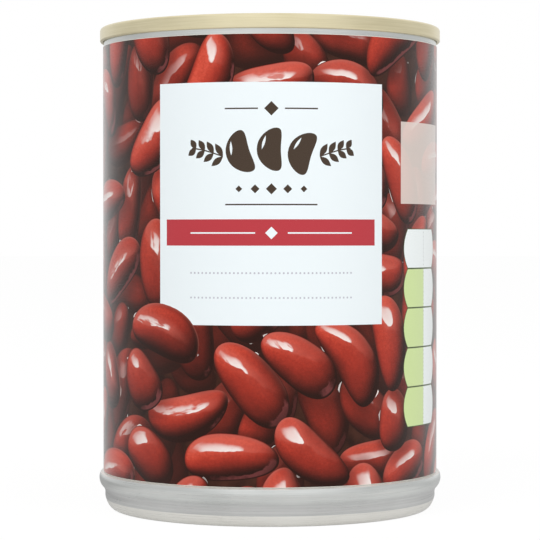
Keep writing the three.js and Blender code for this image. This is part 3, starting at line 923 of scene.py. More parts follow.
def ring_pull():
    skin = Surface()
    nose = TAB_NOSE_WIDTH / 2
    ring = TAB_WIDTH / 2
    ring_y = HEEL_Y - rivet_y + ring
    hole = ring - TAB_BAND
    corner = FINGER_CORNER
    corner_x = hole - corner
    corner_y = -TAB_WEB_DIAMETER / 2 - TAB_BAND / 2 - corner

    def outer(inset):
        circles = [(0, RIVET_SETBACK - nose, nose - inset), (0, ring_y, ring - inset)]
        return band_round(circles, TAB_TURNS)

    def finger(inset):
        circles = [
            (0, ring_y, hole + inset),
            (-corner_x, corner_y, corner + inset),
            (corner_x, corner_y, corner + inset),
        ]
        return band_round(circles, TAB_TURNS)

    def curled(outline, curl, outwards):
        """Loops over a curled edge, from the flat below round its side to the web on top."""
        bend, width = curl["bend"], curl["width"]
        inner_bend = (width - bend) / 2
        profile = arc(bend, bend, bend, 270, 90, 14)
        profile += arc(width - inner_bend, 2 * bend - inner_bend, inner_bend, 90, 0, 6)
        profile.append((width, TAB_WEB))
        loops = [skin.loop(outline(inset), z) for inset, z in profile]
        for low, high in zip(loops, loops[1:]):
            skin.strip(low, high) if outwards else skin.strip(high, low)
        return loops[0], loops[-1]

    def slot(outline):
        low, high = skin.loop(outline, 0), skin.loop(outline, TAB_WEB)
        skin.strip(high, low)
        return low, high

    def lance():
        """A cut most of the way round the rivet, with round ends."""
        start = 90 - LANCE_SWEEP / 2
        end = start + LANCE_SWEEP
        mid, half = LANCE_DIAMETER / 2, LANCE_WIDTH / 2

        def end_cap(at, way):
            x, y = mid * math.cos(math.radians(at)), mid * math.sin(math.radians(at))
            return arc(x, y, half, way, way + 180, 8)[1:-1]

        far_side = arc(0, 0, mid + half, start, end, SLOT_TURNS)
        near_side = arc(0, 0, mid - half, end, start, SLOT_TURNS)
        return [*far_side, *end_cap(end, end), *near_side, *end_cap(start, start + 180)]

    outer_low, outer_high = curled(outer, OUTER_CURL, True)
    finger_low, finger_high = curled(finger, HOLE_CURL, False)
    lance_low, lance_high = slot(lance())
    bore_low, bore_high = slot(band_round([(0, 0, RIVET_SHANK / 2 + RIVET_GAP)], SLOT_TURNS))
    skin.fill(outer_high, [finger_high, lance_high, bore_high], True)
    skin.fill(outer_low, [finger_low, lance_low, bore_low], False)
    points = [(x, y + rivet_y, z + TAB_Z) for x, y, z in skin.points]
    mesh = new_mesh("ring_pull", points, skin.faces)
    mesh.shade_smooth()
    mesh.set_sharp_from_angle(angle=math.radians(TAB_CREASE))
    mesh.materials.append(tab_steel())
    return new_object("ring_pull", mesh)


# --- laying out the beans

BEAN_LENGTH, BEAN_WIDTH = 19.8, 9.9
BEAN_ROOM = (-7.0, 101.0)  # beans are laid past the label's edges too
LAPPING_BEAN = (-24.3, 32.0, math.radians(-18), 9.6, 5.4, 0.3, 0.05)  # over the panel's corner
NUDGE, SPIN = 0.2, 0.35  # how much of an overlap each round of settling takes away
TRIES = 24  # places looked at for each bean

# How much beans vary: shares of their length and width, and how far they bend.
LONG, LONG_END_ON = (0.88, 1.1), (0.66, 0.8)
WIDE, WIDE_END_ON = (0.9, 1.08), 0.96
STRAIGHT, BENT, BEND_END_ON = (0.08, 0.3), (0.34, 0.52), 0.4
END_ON_CHANCE, BENT_CHANCE = 0.16, 0.4
TAPER, TAPER_SCATTER = 0.14, 37.0
TAPER_TO = 1.6  # half-lengths from a bean's middle, past which it tapers no more

# Each layer's number of beans, their size, and its levels from the deepest, 0, to the top, 1.
DEEP_LAYER = 80, 0.95, (0.0, 0.25)
MIDDLE_LAYER = 104, 0.975, (0.35, 0.65)
TOP_LAYER = 114, 1.0, (0.75, 1.0)
TOP_SETTLES, MIDDLE_SETTLES = (120, 1.0), (30, 0.8)  # rounds, and how much of a bean's size counts
HEAP_SEED = 6

BALLS = (-1, -0.33, 0.33, 1)  # places of the balls that a bean settles as, along its middle
BALL_SIZE, END_BALL_SIZE = 0.95, 0.93

# The shadow that a bean casts down and to the right, and the dark line where two touch: the
# least light in it, and the distances from the bean over which the light comes back.
SHADOW_SHIFT = 0.8, 1.3
LEAST_LIGHT = 0.46
SHADOW_EDGE, TOUCH_EDGE = (-1.2, 3.0), (0, 1.9)
SHADOW_REACH = 4  # beans further off than this cast none
OUTLINE_STEPS = 44


def apart(distance):
    """The distance round the can between two places, the short way."""
    return (distance + around / 2) % around - around / 2


def strew(count, scale, before, chance):
    """Lays beans one by one, each in the emptiest of some places. Rows: u, z, turn,
    half-length, half-width, bend, taper."""
    beans = []
    taken = [tuple(bean[:2]) for bean in before]

    def room(place):
        gaps = (apart(place[0] - u) ** 2 + (place[1] - z) ** 2 for u, z in taken)
        return min(gaps, default=0)

    for _ in range(count):
        tries = [(chance.uniform(0, around), chance.uniform(*BEAN_ROOM)) for _ in range(TRIES)]
        best = max(tries, key=room)
        taken.append(best)
        end_on = chance.random() < END_ON_CHANCE
        long = chance.uniform(*LONG)
        heading = chance.uniform(0, math.tau)
        if end_on:
            long *= chance.uniform(*LONG_END_ON)
        wide = chance.uniform(*WIDE)
        bend = chance.uniform(*(BENT if chance.random() < BENT_CHANCE else STRAIGHT))
        if end_on:
            wide, bend = WIDE_END_ON * wide, BEND_END_ON * bend
        half_length, half_width = scale * long * BEAN_LENGTH / 2, scale * wide * BEAN_WIDTH / 2
        taper = TAPER * math.sin(TAPER_SCATTER * heading)
        beans.append([*best, heading, half_length, half_width, bend, taper])
    return np.array(beans)


def settle(beans, rounds, snug):
    """Pushes overlapping beans apart, each standing as four balls in a row."""
    half_length, half_width, bend = beans[:, 3], beans[:, 4], beans[:, 5]
    count = len(beans)
    owner = np.tile(np.arange(count), len(BALLS))
    ball = half_width * BALL_SIZE * snug
    radii = np.concatenate([ball * END_BALL_SIZE, ball, ball, ball * END_BALL_SIZE])
    reach = radii[:, None] + radii[None]
    same = owner[:, None] == owner[None]
    for _ in range(rounds):
        heading = beans[:, 2]
        along = np.stack([np.cos(heading), np.sin(heading)], 1)
        across = np.stack([-np.sin(heading), np.cos(heading)], 1)
        arms = []
        for place in BALLS:
            run = place * np.maximum(half_length - ball, 0)
            sag = bend * half_width * ((run / half_length) ** 2 - BEND_MID)
            arms.append(along * run[:, None] - across * sag[:, None])
        arm = np.concatenate(arms)
        spot = beans[owner, :2] + arm
        right = apart(spot[:, None, 0] - spot[None, :, 0])
        up = spot[:, None, 1] - spot[None, :, 1]
        gap = np.hypot(right, up) + 1e-9
        lap = np.maximum(reach - gap, 0) / gap
        lap[same] = 0
        push = np.stack([(right * lap).sum(1), (up * lap).sum(1)], 1)
        twist = arm[:, 0] * push[:, 1] - arm[:, 1] * push[:, 0]
        beans[:, 0] += np.bincount(owner, push[:, 0]) * NUDGE
        beans[:, 1] += np.bincount(owner, push[:, 1]) * NUDGE
        beans[:, 2] += np.bincount(owner, twist) / half_length**2 * SPIN
        beans[:, 0] %= around
        beans[:, 1] = beans[:, 1].clip(*BEAN_ROOM)
    return beans


def bean_heap():
    """Beans in three layers, deepest first, with a level from 0 to 1 for each."""
    chance = random.Random(HEAP_SEED)
    top = settle(strew(*TOP_LAYER[:2], [], chance), *TOP_SETTLES)
    mid = settle(strew(*MIDDLE_LAYER[:2], top, chance), *MIDDLE_SETTLES)
    deep = strew(*DEEP_LAYER[:2], np.concatenate([top, mid]), chance)
    levels = []
    for count, _, span in (DEEP_LAYER, MIDDLE_LAYER, TOP_LAYER):
        levels += [chance.uniform(*span) for _ in range(count)]
    order = np.argsort(levels)
    beans, levels = np.concatenate([deep, mid, top])[order], np.array(levels)[order]
    return np.concatenate([beans, [LAPPING_BEAN]]), np.append(levels, 1.0)


def bean_place(bean, u, z):
    """Places along and across a bean in its half-lengths, and how far out they are: 1 is on its
    outline."""
    u_mid, z_mid, heading, half_length, half_width, bend, taper = bean
    right, up = apart(u - u_mid), z - z_mid
    l = (right * math.cos(heading) + up * math.sin(heading)) / half_length
    t = (up * math.cos(heading) - right * math.sin(heading)) / half_width
    q = (t + bend * (l * l - BEND_MID)) / (1 + taper * l.clip(-TAPER_TO, TAPER_TO))
    return l, t, abs(l) ** ALONG + abs(q) ** ACROSS


def shade_under(beans, number, u, z):
    """How much light is left on a bean at some places, below the beans that lie over it."""

    def ease(value, low, high):
        share = ((value - low) / (high - low)).clip(0, 1)
        return share * share * (3 - 2 * share)

    light = np.ones(len(u))
    own = beans[number]
    for bean in beans[number + 1 :]:
        reach = own[3] + bean[3] + SHADOW_REACH
        if apart(own[0] - bean[0]) ** 2 + (own[1] - bean[1]) ** 2 > reach**2:
            continue
        light_left = []
        for (right, down), edge in ((SHADOW_SHIFT, SHADOW_EDGE), ((0, 0), TOUCH_EDGE)):
            gap = (np.sqrt(bean_place(bean, u - right, z + down)[2]) - 1) * bean[4]
            light_left.append(LEAST_LIGHT + (1 - LEAST_LIGHT) * ease(gap, *edge))
        light *= np.minimum(*light_left)
    return light


def bean_outline(bean, grow=1.0):
    u, z, heading, half_length, half_width, bend, taper = bean
    cos, sin = math.cos(heading), math.sin(heading)
    outline = []
    for i in range(OUTLINE_STEPS):
        t = math.tau * i / OUTLINE_STEPS
        l = math.copysign(abs(math.cos(t)) ** (2 / ALONG), math.cos(t))
        q = math.copysign(abs(math.sin(t)) ** (2 / ACROSS), math.sin(t))
        along = l * half_length * grow
        across = (q * grow * (1 + taper * l) - bend * (l * l - BEND_MID)) * half_width
        outline.append((u + along * cos - across * sin, z + along * sin + across * cos))
    return outline


# --- flat fields of the print

PANEL_WHITE = tint(240, 248, 251)
CRIMSON = tint(190, 65, 73)
UMBER = tint(75, 62, 52)
DOT_GREY = tint(196, 196, 206)
RULE_GREY = tint(150, 148, 150)
LIME = tint(216, 236, 168)
FIELD_WHITE = tint(249, 255, 255)
MOSS = tint(74, 92, 52)
PALE_VEIL = tint(236, 222, 214)
BARE_PAPER = tint(232, 229, 220)

BULGE, BULGE_STEPS = 1.4, 10
LEAF_STEPS = 8


def rectangle(u_from, z_from, u_to, z_to):
    u_from, u_to = sorted((u_from, u_to))
    return [(u_from, z_from), (u_to, z_from), (u_to, z_to), (u_from, z_to)]


def turned_about(outline, u, z, angle):
    """Turns an outline drawn about (0, 0) and moves it to (u, z)."""
    cos, sin = math.cos(angle), math.sin(angle)
    return [(u + x * cos - y * sin, z + x * sin + y * cos) for x, y in outline]


def dot(u, z, radius, steps=8):
    return arc(u, z, radius, 0, 360, steps)[:-1]


def diamond(u, z, half):
    return [(u - half, z), (u, z - half), (u + half, z), (u, z + half)]


def leaf(u, z, length, width, angle):
    """A leaf pointed at both ends, whose stalk is at (u, z)."""
    shares = [i / LEAF_STEPS for i in range(LEAF_STEPS + 1)]
    lower = [(length * s, -width / 2 * math.sin(math.pi * s)) for s in shares]
    upper = [(x, -y) for x, y in lower[-2:0:-1]]
    return turned_about(lower + upper, u, z, angle)


def lozenge(u_from, z_from, u_to, z_to):
    """A field whose left and right sides swell outwards."""
    middle, half = (z_from + z_to) / 2, (z_to - z_from) / 2
    sides = [2 * i / BULGE_STEPS - 1 for i in range(BULGE_STEPS + 1)]
    right = [(u_to - BULGE * s * s, middle + half * s) for s in sides]
    left = [(u_from + BULGE * s * s, middle - half * s) for s in sides]
    return right + left


def leftwards(outline):
    """An outline in the order that keeps its inside on the left."""
    ends = zip(outline, outline[1:] + outline[:1])
    area = sum(u * z_next - u_next * z for (u, z), (u_next, z_next) in ends)
    return outline if area > 0 else outline[::-1]


def stepped(outline, step=0.8):
    """An outline whose long sides have points enough to bend round the can."""
    points = []
    for (u, z), (u_next, z_next) in zip(outline, outline[1:] + outline[:1]):
        parts = math.ceil(abs(u_next - u) / step) or 1
        for i in range(parts):
            points.append((u + (u_next - u) * i / parts, z + (z_next - z) * i / parts))
    return points


class Print:
    """Fields in the order that they are laid down, each an outline with its ink or its bean.

    Places are millimetres round the can from the middle of the front, and up from the label's
    foot. The flat fields are drawn at heights from the floor, as the rest of the can is."""

    def __init__(self):
        self.outlines = []
        self.inks = []
        self.beans = []

    def lay(self, outline, ink, cover=1.0):
        self.outlines.append(leftwards(stepped([(u, z - LABEL_FOOT) for u, z in outline])))
        self.inks.append((*ink[:3], cover))
        self.beans.append(-1)

    def lay_bean(self, bean, number):
        """Lays a bean, and again one turn on or back where it reaches the label's ends."""
        for lap in (-1, 0, 1):
            moved = np.array(bean)
            moved[0] += lap * around
            if abs(moved[0]) < around / 2 + BEAN_LENGTH:
                self.outlines.append(bean_outline(moved))
                self.inks.append((0, 0, 0, 0))
                self.beans.append(number)


# Places on the print: left, foot, right and head of a field, round the can from the middle of
# the front and up from the floor.
PANEL = -25.0, 42.2, 25.6, 92.8
PANEL_MID = 0.3
STRIP = -23.2, 58.8, 23.6, 64.3
DOTTED_LINES = 47.95, 53.1
DOTS, DOTS_START, DOTS_STEP, DOT_RADIUS = 41, -17.1, 0.868, 0.22
SQUARE, VEIL_COVER = (31.5, 67.7, 51.2, 85.2), 0.84
COLUMN_LEFT, COLUMN_SPLIT, COLUMN_RIGHT = 32.5, 41.1, 47.9
COLUMN_EDGES = 19.8, 28.4, 36.85, 45.4, 53.85, 62.4
COLUMN_RIM = 0.16
COLUMN_DOTS, COLUMN_DOTS_INSET, COLUMN_DOT = 9, 0.8, (0.14, 6)
BACK_PANEL = 60.0, 20.5, 101.0, 92.8
BACK_STRIP = 62.0, 85.0, 99.0, 90.6
BACK_RULES, BACK_RULES_TOP, BACK_RULES_STEP = 11, 80.5, 5.4
BACK_RULES_INSET, BACK_RULE = 3, 0.22

# Ornaments: height, half-width of the diamond, and how far off its rules start and end.
EMBLEM_ORNAMENT = 87.3, 1.5, 2.8, 9.8
STRIP_ORNAMENT = 61.45, 1.3, 3.4, 17.5
RULE_HALF = 0.15

# The emblem's beans: places aside of the middle, and how they lie in degrees.
EMBLEM_BEANS = (-6.5, 108), (0, 90), (6.5, 72)
EMBLEM_BEANS_Z, EMBLEM_BEANS_SINK, EMBLEM_BEAN_FORM = 78.8, 0.1, (4.5, 2.5, 0.62, 0)
SCAR_OFF, SCAR_LENGTH, SCAR_WIDTH, SCAR_LEAN = 2.0, 3.0, 0.55, -0.28
SPRIG_OFF, SPRIG_Z, SPRIG_POINTS, SPRIG_RISE, SPRIG_CURVE = 10.2, 77.2, 8, 1.8, 0.2
STALK, LEAF_WIDTH, LEAF_LENGTH, LEAF_SHRINKS = 0.28, 1.35, 3.2, 0.3
LEAF_WAYS = 58, -38
EMBLEM_DIAMONDS_Z, EMBLEM_DIAMONDS_STEP = 70.6, 3.4
DIAMOND_HALF, DIAMOND_SHRINKS = 1.15, 0.22
EMBLEM_RULE = -9.7, 9.7, 67.35


def rule(picture, aside_from, aside_to, z, ink):
    """A level rule between two places aside of the panel's middle."""
    ends = PANEL_MID + aside_from, PANEL_MID + aside_to
    picture.lay(rectangle(ends[0], z - RULE_HALF, ends[1], z + RULE_HALF), ink)


def ornament(picture, z, half, near, far, ink):
    """A diamond on the panel's middle, between two rules."""
    picture.lay(diamond(PANEL_MID, z, half), ink)
    for side in (-1, 1):
        rule(picture, side * near, side * far, z, ink)


def emblem(picture):
    """Three beans between two leafy sprigs, with small ornaments over and under them."""
    ornament(picture, *EMBLEM_ORNAMENT, UMBER)
    for aside, degrees in EMBLEM_BEANS:
        u, lie = PANEL_MID + aside, math.radians(degrees)
        z = EMBLEM_BEANS_Z - abs(aside) * EMBLEM_BEANS_SINK
        picture.lay(bean_outline((u, z, lie, *EMBLEM_BEAN_FORM)), UMBER)
        stalk = (u - SCAR_OFF * math.sin(lie), z + SCAR_OFF * math.cos(lie))
        picture.lay(leaf(*stalk, SCAR_LENGTH, SCAR_WIDTH, lie + SCAR_LEAN), PANEL_WHITE)
    for side in (-1, 1):
        stem = []
        for i in range(SPRIG_POINTS):
            z = SPRIG_Z + SPRIG_RISE * math.sin(i * SPRIG_CURVE)
            stem.append((PANEL_MID + side * (SPRIG_OFF + i), z))
        picture.lay(stem + [(u, z + STALK) for u, z in stem[::-1]], UMBER)
        for i, (u, z) in enumerate(stem[::2]):
            for way in LEAF_WAYS:
                angle = math.radians(way if side > 0 else 180 - way)
                length = LEAF_LENGTH - LEAF_SHRINKS * i
                picture.lay(leaf(u, z + STALK / 2, length, LEAF_WIDTH, angle), UMBER)
    for i in range(-2, 3):
        u = PANEL_MID + EMBLEM_DIAMONDS_STEP * i
        half = DIAMOND_HALF - DIAMOND_SHRINKS * abs(i)
        picture.lay(diamond(u, EMBLEM_DIAMONDS_Z, half), UMBER)
    rule(picture, *EMBLEM_RULE, UMBER)


GLINTS_EACH, GLINT_RUNS = (0, 1, 1, 2, 3), (1, 1, 1, 2, 3)
GLINT_THICK, GLINT_SHINE = (0.12, 0.42), (0.3, 0.95)
GLINT_OFF, GLINT_STEP, GLINT_POINTS = 1.01, 0.3, 4


def wet_edges(picture, bean, chance):
    """Thin glints of liquor that cling to a bean's outline, each drawn out at both ends."""
    outline = bean_outline(bean, grow=GLINT_OFF)
    for _ in range(chance.choice(GLINTS_EACH)):
        start = chance.randrange(len(outline))
        run = chance.choice(GLINT_RUNS)
        thick = chance.uniform(*GLINT_THICK)
        shine = chance.uniform(*GLINT_SHINE)
        path = [outline[(start + i) % len(outline)] for i in range(run + 1)]
        shift = apart(path[0][0]) - path[0][0]
        path = stepped(path, GLINT_STEP)[: GLINT_POINTS * run]
        path = [(u + shift, z + LABEL_FOOT) for u, z in path]
        back = []
        for i in range(len(path) - 2, 0, -1):
            (u, z), (u_on, z_on) = path[i], path[i + 1]
            swell = thick * math.sin(math.pi * i / (len(path) - 1))
            long = math.hypot(u_on - u, z_on - z) or 1
            back.append((u + (z_on - z) / long * swell, z - (u_on - u) / long * swell))
        if back:
            picture.lay(path + back, GLINT, shine)


def front_panel(picture):
    picture.lay(rectangle(*PANEL), PANEL_WHITE)
    emblem(picture)
    picture.lay(rectangle(*STRIP), CRIMSON)
    ornament(picture, *STRIP_ORNAMENT, PANEL_WHITE)
    for z in DOTTED_LINES:
        for i in range(DOTS):
            picture.lay(dot(DOTS_START + DOTS_STEP * i, z, DOT_RADIUS), DOT_GREY)


def side_marks(picture):
    """A pale see-through square, and a column of small two-coloured fields under it."""
    picture.lay(rectangle(*SQUARE), PALE_VEIL, VEIL_COVER)
    rim = COLUMN_RIM
    for low, high in zip(COLUMN_EDGES, COLUMN_EDGES[1:]):
        picture.lay(lozenge(COLUMN_LEFT, low, COLUMN_RIGHT, high), MOSS)
        inner = lozenge(COLUMN_LEFT + rim, low + rim, COLUMN_RIGHT - rim, high - rim)
        picture.lay(inner, FIELD_WHITE)
        if high < COLUMN_EDGES[-1]:
            picture.lay(left_part(inner, COLUMN_SPLIT), LIME)
        bottom, top = low + COLUMN_DOTS_INSET, high - COLUMN_DOTS_INSET
        for z in np.linspace(bottom, top, COLUMN_DOTS).tolist():
            picture.lay(dot(COLUMN_SPLIT, z, *COLUMN_DOT), RULE_GREY)


def left_part(outline, edge):
    """The part of a field to the left of an upright line."""
    kept = [(u, z) for u, z in outline if u < edge]
    return kept + [(edge, kept[-1][1]), (edge, kept[0][1])]


def back_panel(picture):
    """A white field for facts, kept bare but for a crimson strip and thin rules."""
    picture.lay(rectangle(*BACK_PANEL), PANEL_WHITE)
    picture.lay(rectangle(*BACK_STRIP), CRIMSON)
    left, _, right, _ = BACK_PANEL
    for i in range(BACK_RULES):
        z = BACK_RULES_TOP - BACK_RULES_STEP * i
        ends = (left + BACK_RULES_INSET, right - BACK_RULES_INSET)
        picture.lay(rectangle(ends[0], z, ends[1], z + BACK_RULE), RULE_GREY)
    middle, half = (left + right) / 2, BACK_RULE / 2
    picture.lay(rectangle(middle - half, z, middle + half, BACK_RULES_TOP), RULE_GREY)


# --- label

ROWS = 116  # rows of points up the print
BARE_EDGE = 0.1  # left by the ink along the foot and the head of the sheet
PAST_THE_ENDS = 130  # further round than the sheet reaches
SAME_PLACE = 1e-4  # points of the print this near to an edge of the sheet are on it
PRINT_MERGE = 3e-4  # points of the print that are nearer to each other than this become one
GLINT_SEED = 11
WET_FROM = 0.3  # beans on deeper levels have no wet edges

# Map of the label: millimetres to its whole width, where the middle of the front stands, and the
# shift that keeps the start of the sheet clear of its lapped end.
MAP_WIDTH, MAP_MID, MAP_LAP_SHIFT = 130, 0.48, 7.5
MAP_RIM, MAP_HALF, MAP_WHOLE = 0.01, 0.48, 0.98  # up the map, for either half and the bare side
BARE_FROM, BARE_WIDTH = 0.975, 0.02  # across the map, for the bare side

# What the shading is told at each face corner that shows no bean. The ink there is bare paper.
NO_BEAN = {
    "bean_at": (0, 0, -1),
    "bean_form": (1, 1, 0),
    "bean_turn": (1, 0, 0),
    "bean_taper": (0,),
    "bean_shade": (1,),
    "ink": BARE_PAPER,
}


def on_paper(u, z, depth=0.0):
    """The place of a point of the print, or below it in the paper. The last of the paper laps
    over the first, at the back of the can."""
    ramp = LAP_COLUMNS * around / TURNS
    share = ((u - around / 2) / ramp + 1).clip(0, 1)
    lift = (PAPER + GLUE_GAP) * share * share * (3 - 2 * share)
    angle = u / paper_outside - math.pi / 2
    radius = paper_outside + lift - depth
    return np.stack([radius * np.cos(angle), radius * np.sin(angle), LABEL_FOOT + z], -1)


def divide_print(picture, columns):
    """Cuts the sheet into triangles along every field's edge. Returns the points, the triangles
    and the fields that each lies in."""
    rows = np.linspace(0, label_height, ROWS + 1)
    points = [Vector((u, z)) for u in columns for z in rows]
    last = (len(columns) - 1) * len(rows)
    starts = [i * len(rows) + end for i in range(len(columns) - 1) for end in (0, ROWS)]
    edges = [(start, start + len(rows)) for start in starts]
    edges += [(start + i, start + i + 1) for start in (0, last) for i in range(ROWS)]
    fields = []
    for outline in picture.outlines:
        fields.append(list(range(len(points), len(points) + len(outline))))
        points += [Vector(p) for p in outline]
    made = delaunay_2d_cdt(points, edges, fields, 0, PRINT_MERGE, True)
    place = np.array([tuple(p) for p in made[0]])
    triangles = np.array([tuple(face) for face in made[2]])
    middle = place[triangles].mean(1)
    inside = (middle > (columns[0], 0)).all(1) & (middle < (columns[-1], label_height)).all(1)
    owners = [made[5][i] for i in np.flatnonzero(inside)]
    return place, triangles[inside], owners


def give(mesh, name, data):
    """Gives each face corner of a mesh a number, a vector or a colour, one row for each."""
    kinds = {1: ("FLOAT", "value"), 3: ("FLOAT_VECTOR", "vector"), 4: ("FLOAT_COLOR", "color")}
    kind, field = kinds[data.shape[1]]
    layer = mesh.attributes.new(name, kind, "CORNER")
    layer.data.foreach_set(field, data.astype(np.float32).ravel())


def whole_print(beans, levels):
    """The heap, then the flat fields, then the bean that lies over the panel's corner."""
    picture = Print()
    chance = random.Random(GLINT_SEED)
    for number, (bean, depth) in enumerate(zip(beans, levels)):
        picture.lay_bean(bean, number)
        if depth > WET_FROM:
            wet_edges(picture, bean, chance)
    front_panel(picture)
    side_marks(picture)
    back_panel(picture)
    picture.lay_bean(beans[-1], len(beans) - 1)
    end = PAST_THE_ENDS
    for z in (LABEL_FOOT, LABEL_HEAD):
        picture.lay(rectangle(-end, z - BARE_EDGE, end, z + BARE_EDGE), BARE_PAPER)
    return picture


def topmost(picture, owners):
    """The number of the topmost bean of each triangle, and the ink that lies over it."""
    bean_of = np.full(len(owners), -1)
    ink_of = np.zeros((len(owners), 4))
    for row, fields in enumerate(owners):
        for field in sorted(fields):
            if picture.beans[field] >= 0:
                bean_of[row] = picture.beans[field]
                ink_of[row] = 0
            else:
                ink_of[row] = picture.inks[field]
    return bean_of, ink_of


def bean_facts(beans, levels, bean_of, u, z):
    """What the shading is told of the bean at each corner."""
    facts = {name: np.tile(np.array(bare, float), (len(u), 1)) for name, bare in NO_BEAN.items()}
    for number, bean in enumerate(beans):
        own = np.flatnonzero(bean_of == number)
        if len(own) == 0:
            continue
        l, t, _ = bean_place(bean, u[own], z[own])
        facts["bean_at"][own] = np.stack([l, t, np.full(len(own), levels[number])], 1)
        facts["bean_form"][own] = bean[3:6]
        facts["bean_turn"][own] = math.cos(bean[2]), math.sin(bean[2]), number
        facts["bean_taper"][own] = bean[6]
        facts["bean_shade"][own, 0] = shade_under(beans, number, u[own], z[own])
    return facts


def bare_side(place, columns):
    """The faces of the sheet's bare side, and of the rims that join it to the print. Its points
    follow those of the print: the foot of each column, and then the head of each."""
    foot = len(place) + np.arange(len(columns))
    head = foot + len(columns)
    faces = []

    def chain(along, across, value):
        """Points of the print on one of the sheet's edges, in order."""
        on_edge = np.flatnonzero(np.abs(place[:, across] - value) < SAME_PLACE)
        return on_edge[np.argsort(place[on_edge, along])]

    bottom, top = chain(0, 1, 0.0), chain(0, 1, label_height)
    for i in range(len(columns) - 1):
        faces.append([foot[i + 1], foot[i], head[i], head[i + 1]])
        for edge, ends, downwards in ((bottom, foot, True), (top, head, False)):
            u = place[edge, 0]
            near = edge[(u > columns[i] - SAME_PLACE) & (u < columns[i + 1] + SAME_PLACE)]
            rim = [[b, a, ends[i]] for a, b in zip(near, near[1:])]
            rim.append([near[-1], ends[i], ends[i + 1]])
            faces += rim if downwards else [r[::-1] for r in rim]
    for i, flip in ((0, False), (-1, True)):
        edge = chain(1, 0, columns[i])
        rim = [[a, b, foot[i]] for a, b in zip(edge, edge[1:])]
        rim.append([foot[i], edge[-1], head[i]])
        faces += [r[::-1] for r in rim] if flip else rim
    return [[int(v) for v in face] for face in faces]


def label_map(where, printed, columns):
    """One map: the front half below, the back half above, the bare side down the right."""
    u, z = where[:, 0], where[:, 1]
    middle = np.zeros(len(u))
    middle[printed] = np.repeat(u[printed].reshape(-1, 3).mean(1), 3)
    behind = np.abs(middle) > around / 4
    run = u - np.where(behind, np.where(middle > 0, 1, -1) * around / 2, 0)
    run = run + np.where(behind & (middle < 0), MAP_LAP_SHIFT, 0)
    bare_across = BARE_FROM + BARE_WIDTH * z / label_height
    across = np.where(printed, MAP_MID + run / MAP_WIDTH, bare_across)
    half = MAP_RIM + MAP_HALF * z / label_height + 0.5 * behind
    strip = MAP_RIM + MAP_WHOLE * (u - columns[0]) / (columns[-1] - columns[0])
    return np.stack([across, np.where(printed, half, strip)], 1)


def paper_label():
    beans, levels = bean_heap()
    picture = whole_print(beans, levels)
    columns = -around / 2 + around / TURNS * np.arange(TURNS + LAP_COLUMNS + 1)
    place, triangles, owners = divide_print(picture, columns)
    bean_of, ink_of = topmost(picture, owners)
    corners = place[triangles].reshape(-1, 2)
    facts = bean_facts(beans, levels, np.repeat(bean_of, 3), *corners.T)
    facts["ink"] = np.repeat(ink_of, 3, 0)

    # The printed side first, then the bare side, with the sheet's thickness between them.
    used, triangles = np.unique(triangles, return_inverse=True)
    triangles = triangles.reshape(-1, 3)
    place = place[used]
    foot = np.stack([columns, 0 * columns], 1)
    head = foot + (0, label_height)
    sides = [on_paper(*place.T), on_paper(*foot.T, PAPER), on_paper(*head.T, PAPER)]
    faces = triangles.tolist() + bare_side(place, columns)
    mesh = new_mesh("paper_label", np.concatenate(sides).tolist(), faces)

    corner = np.zeros(len(mesh.loops), int)
    mesh.loops.foreach_get("vertex_index", corner)
    where = np.pad(np.concatenate([place, foot, head])[corner], ((0, 0), (0, 1)))
    printed = np.arange(len(corner)) < len(corners)
    rest = len(corner) - len(corners)
    for name, data in facts.items():
        give(mesh, name, np.concatenate([data, np.tile(NO_BEAN[name], (rest, 1))]))
    give(mesh, "print_place", where)
    layer = mesh.uv_layers.new(name="OFBake")
    chart = label_map(where, printed, columns)
    layer.uv.foreach_set("vector", chart.astype(np.float32).ravel())

    # The printed side is shaded as the round it stands for.
    angle = where[:, 0] / paper_outside - math.pi / 2
    away = np.stack([np.cos(angle), np.sin(angle), 0 * angle], 1)
    away[~printed] = 0
    smooth = np.arange(len(mesh.polygons)) < len(triangles)
    mesh.polygons.foreach_set("use_smooth", smooth)
    mesh.normals_split_custom_set(away.tolist())
    mesh.materials.append(printed_paper())
    return new_object("paper_label", mesh)


# --- floor, light and camera

AIR_LIGHT = 0.575
# How much duller a gloss is at the sides and behind, and from where on.
SIDE_DIP, SIDE_FROM, SIDE_TO = 0.3, 0.4, 0.95
BACK_DIP, BACK_SLANT, BACK_FROM, BACK_TO = 0.07, 0.04, 0.45, 0.9

FLOOR_TINT = tint(228, 228, 227)
FLOOR_GLOW, FLOOR_BRIGHTNESS, FLOOR_GLOSS_LESS = 0.88, 1.06, 0.5
FLOOR_REACH = 6000
# In a gloss the floor behind the can is darker, a painted shadow of the can, by these shares at
# its left and right, and the rest of the floor glows half as much. Places are in metres.
FLOOR_BEHIND, FLOOR_ACROSS = (-0.035, 0.01), (-0.03, 0.03)
LEFT_DIP, RIGHT_DIP = 0.55, 0.38

LAMP_SIZE = 1.1
LAMPS = {"key": ((-0.7, -1.1, 1.0), 8.7), "fill": ((0.9, -1.0, 0.5), 5.7)}  # place and power
CAMERA_PLACE = 0.00001, -0.4868, 0.0609
CAMERA_DOWN = 0.909  # degrees
CAMERA_LENS = 144.45


def seen_directly(values):
    """1 for what the camera sees, directly, in a gloss or through something clear."""
    camera, gloss, clear = (values.ray(kind) for kind in ("Camera", "Glossy", "Transmission"))
    return values.math("MAXIMUM", camera, values.math("MAXIMUM", gloss, clear))


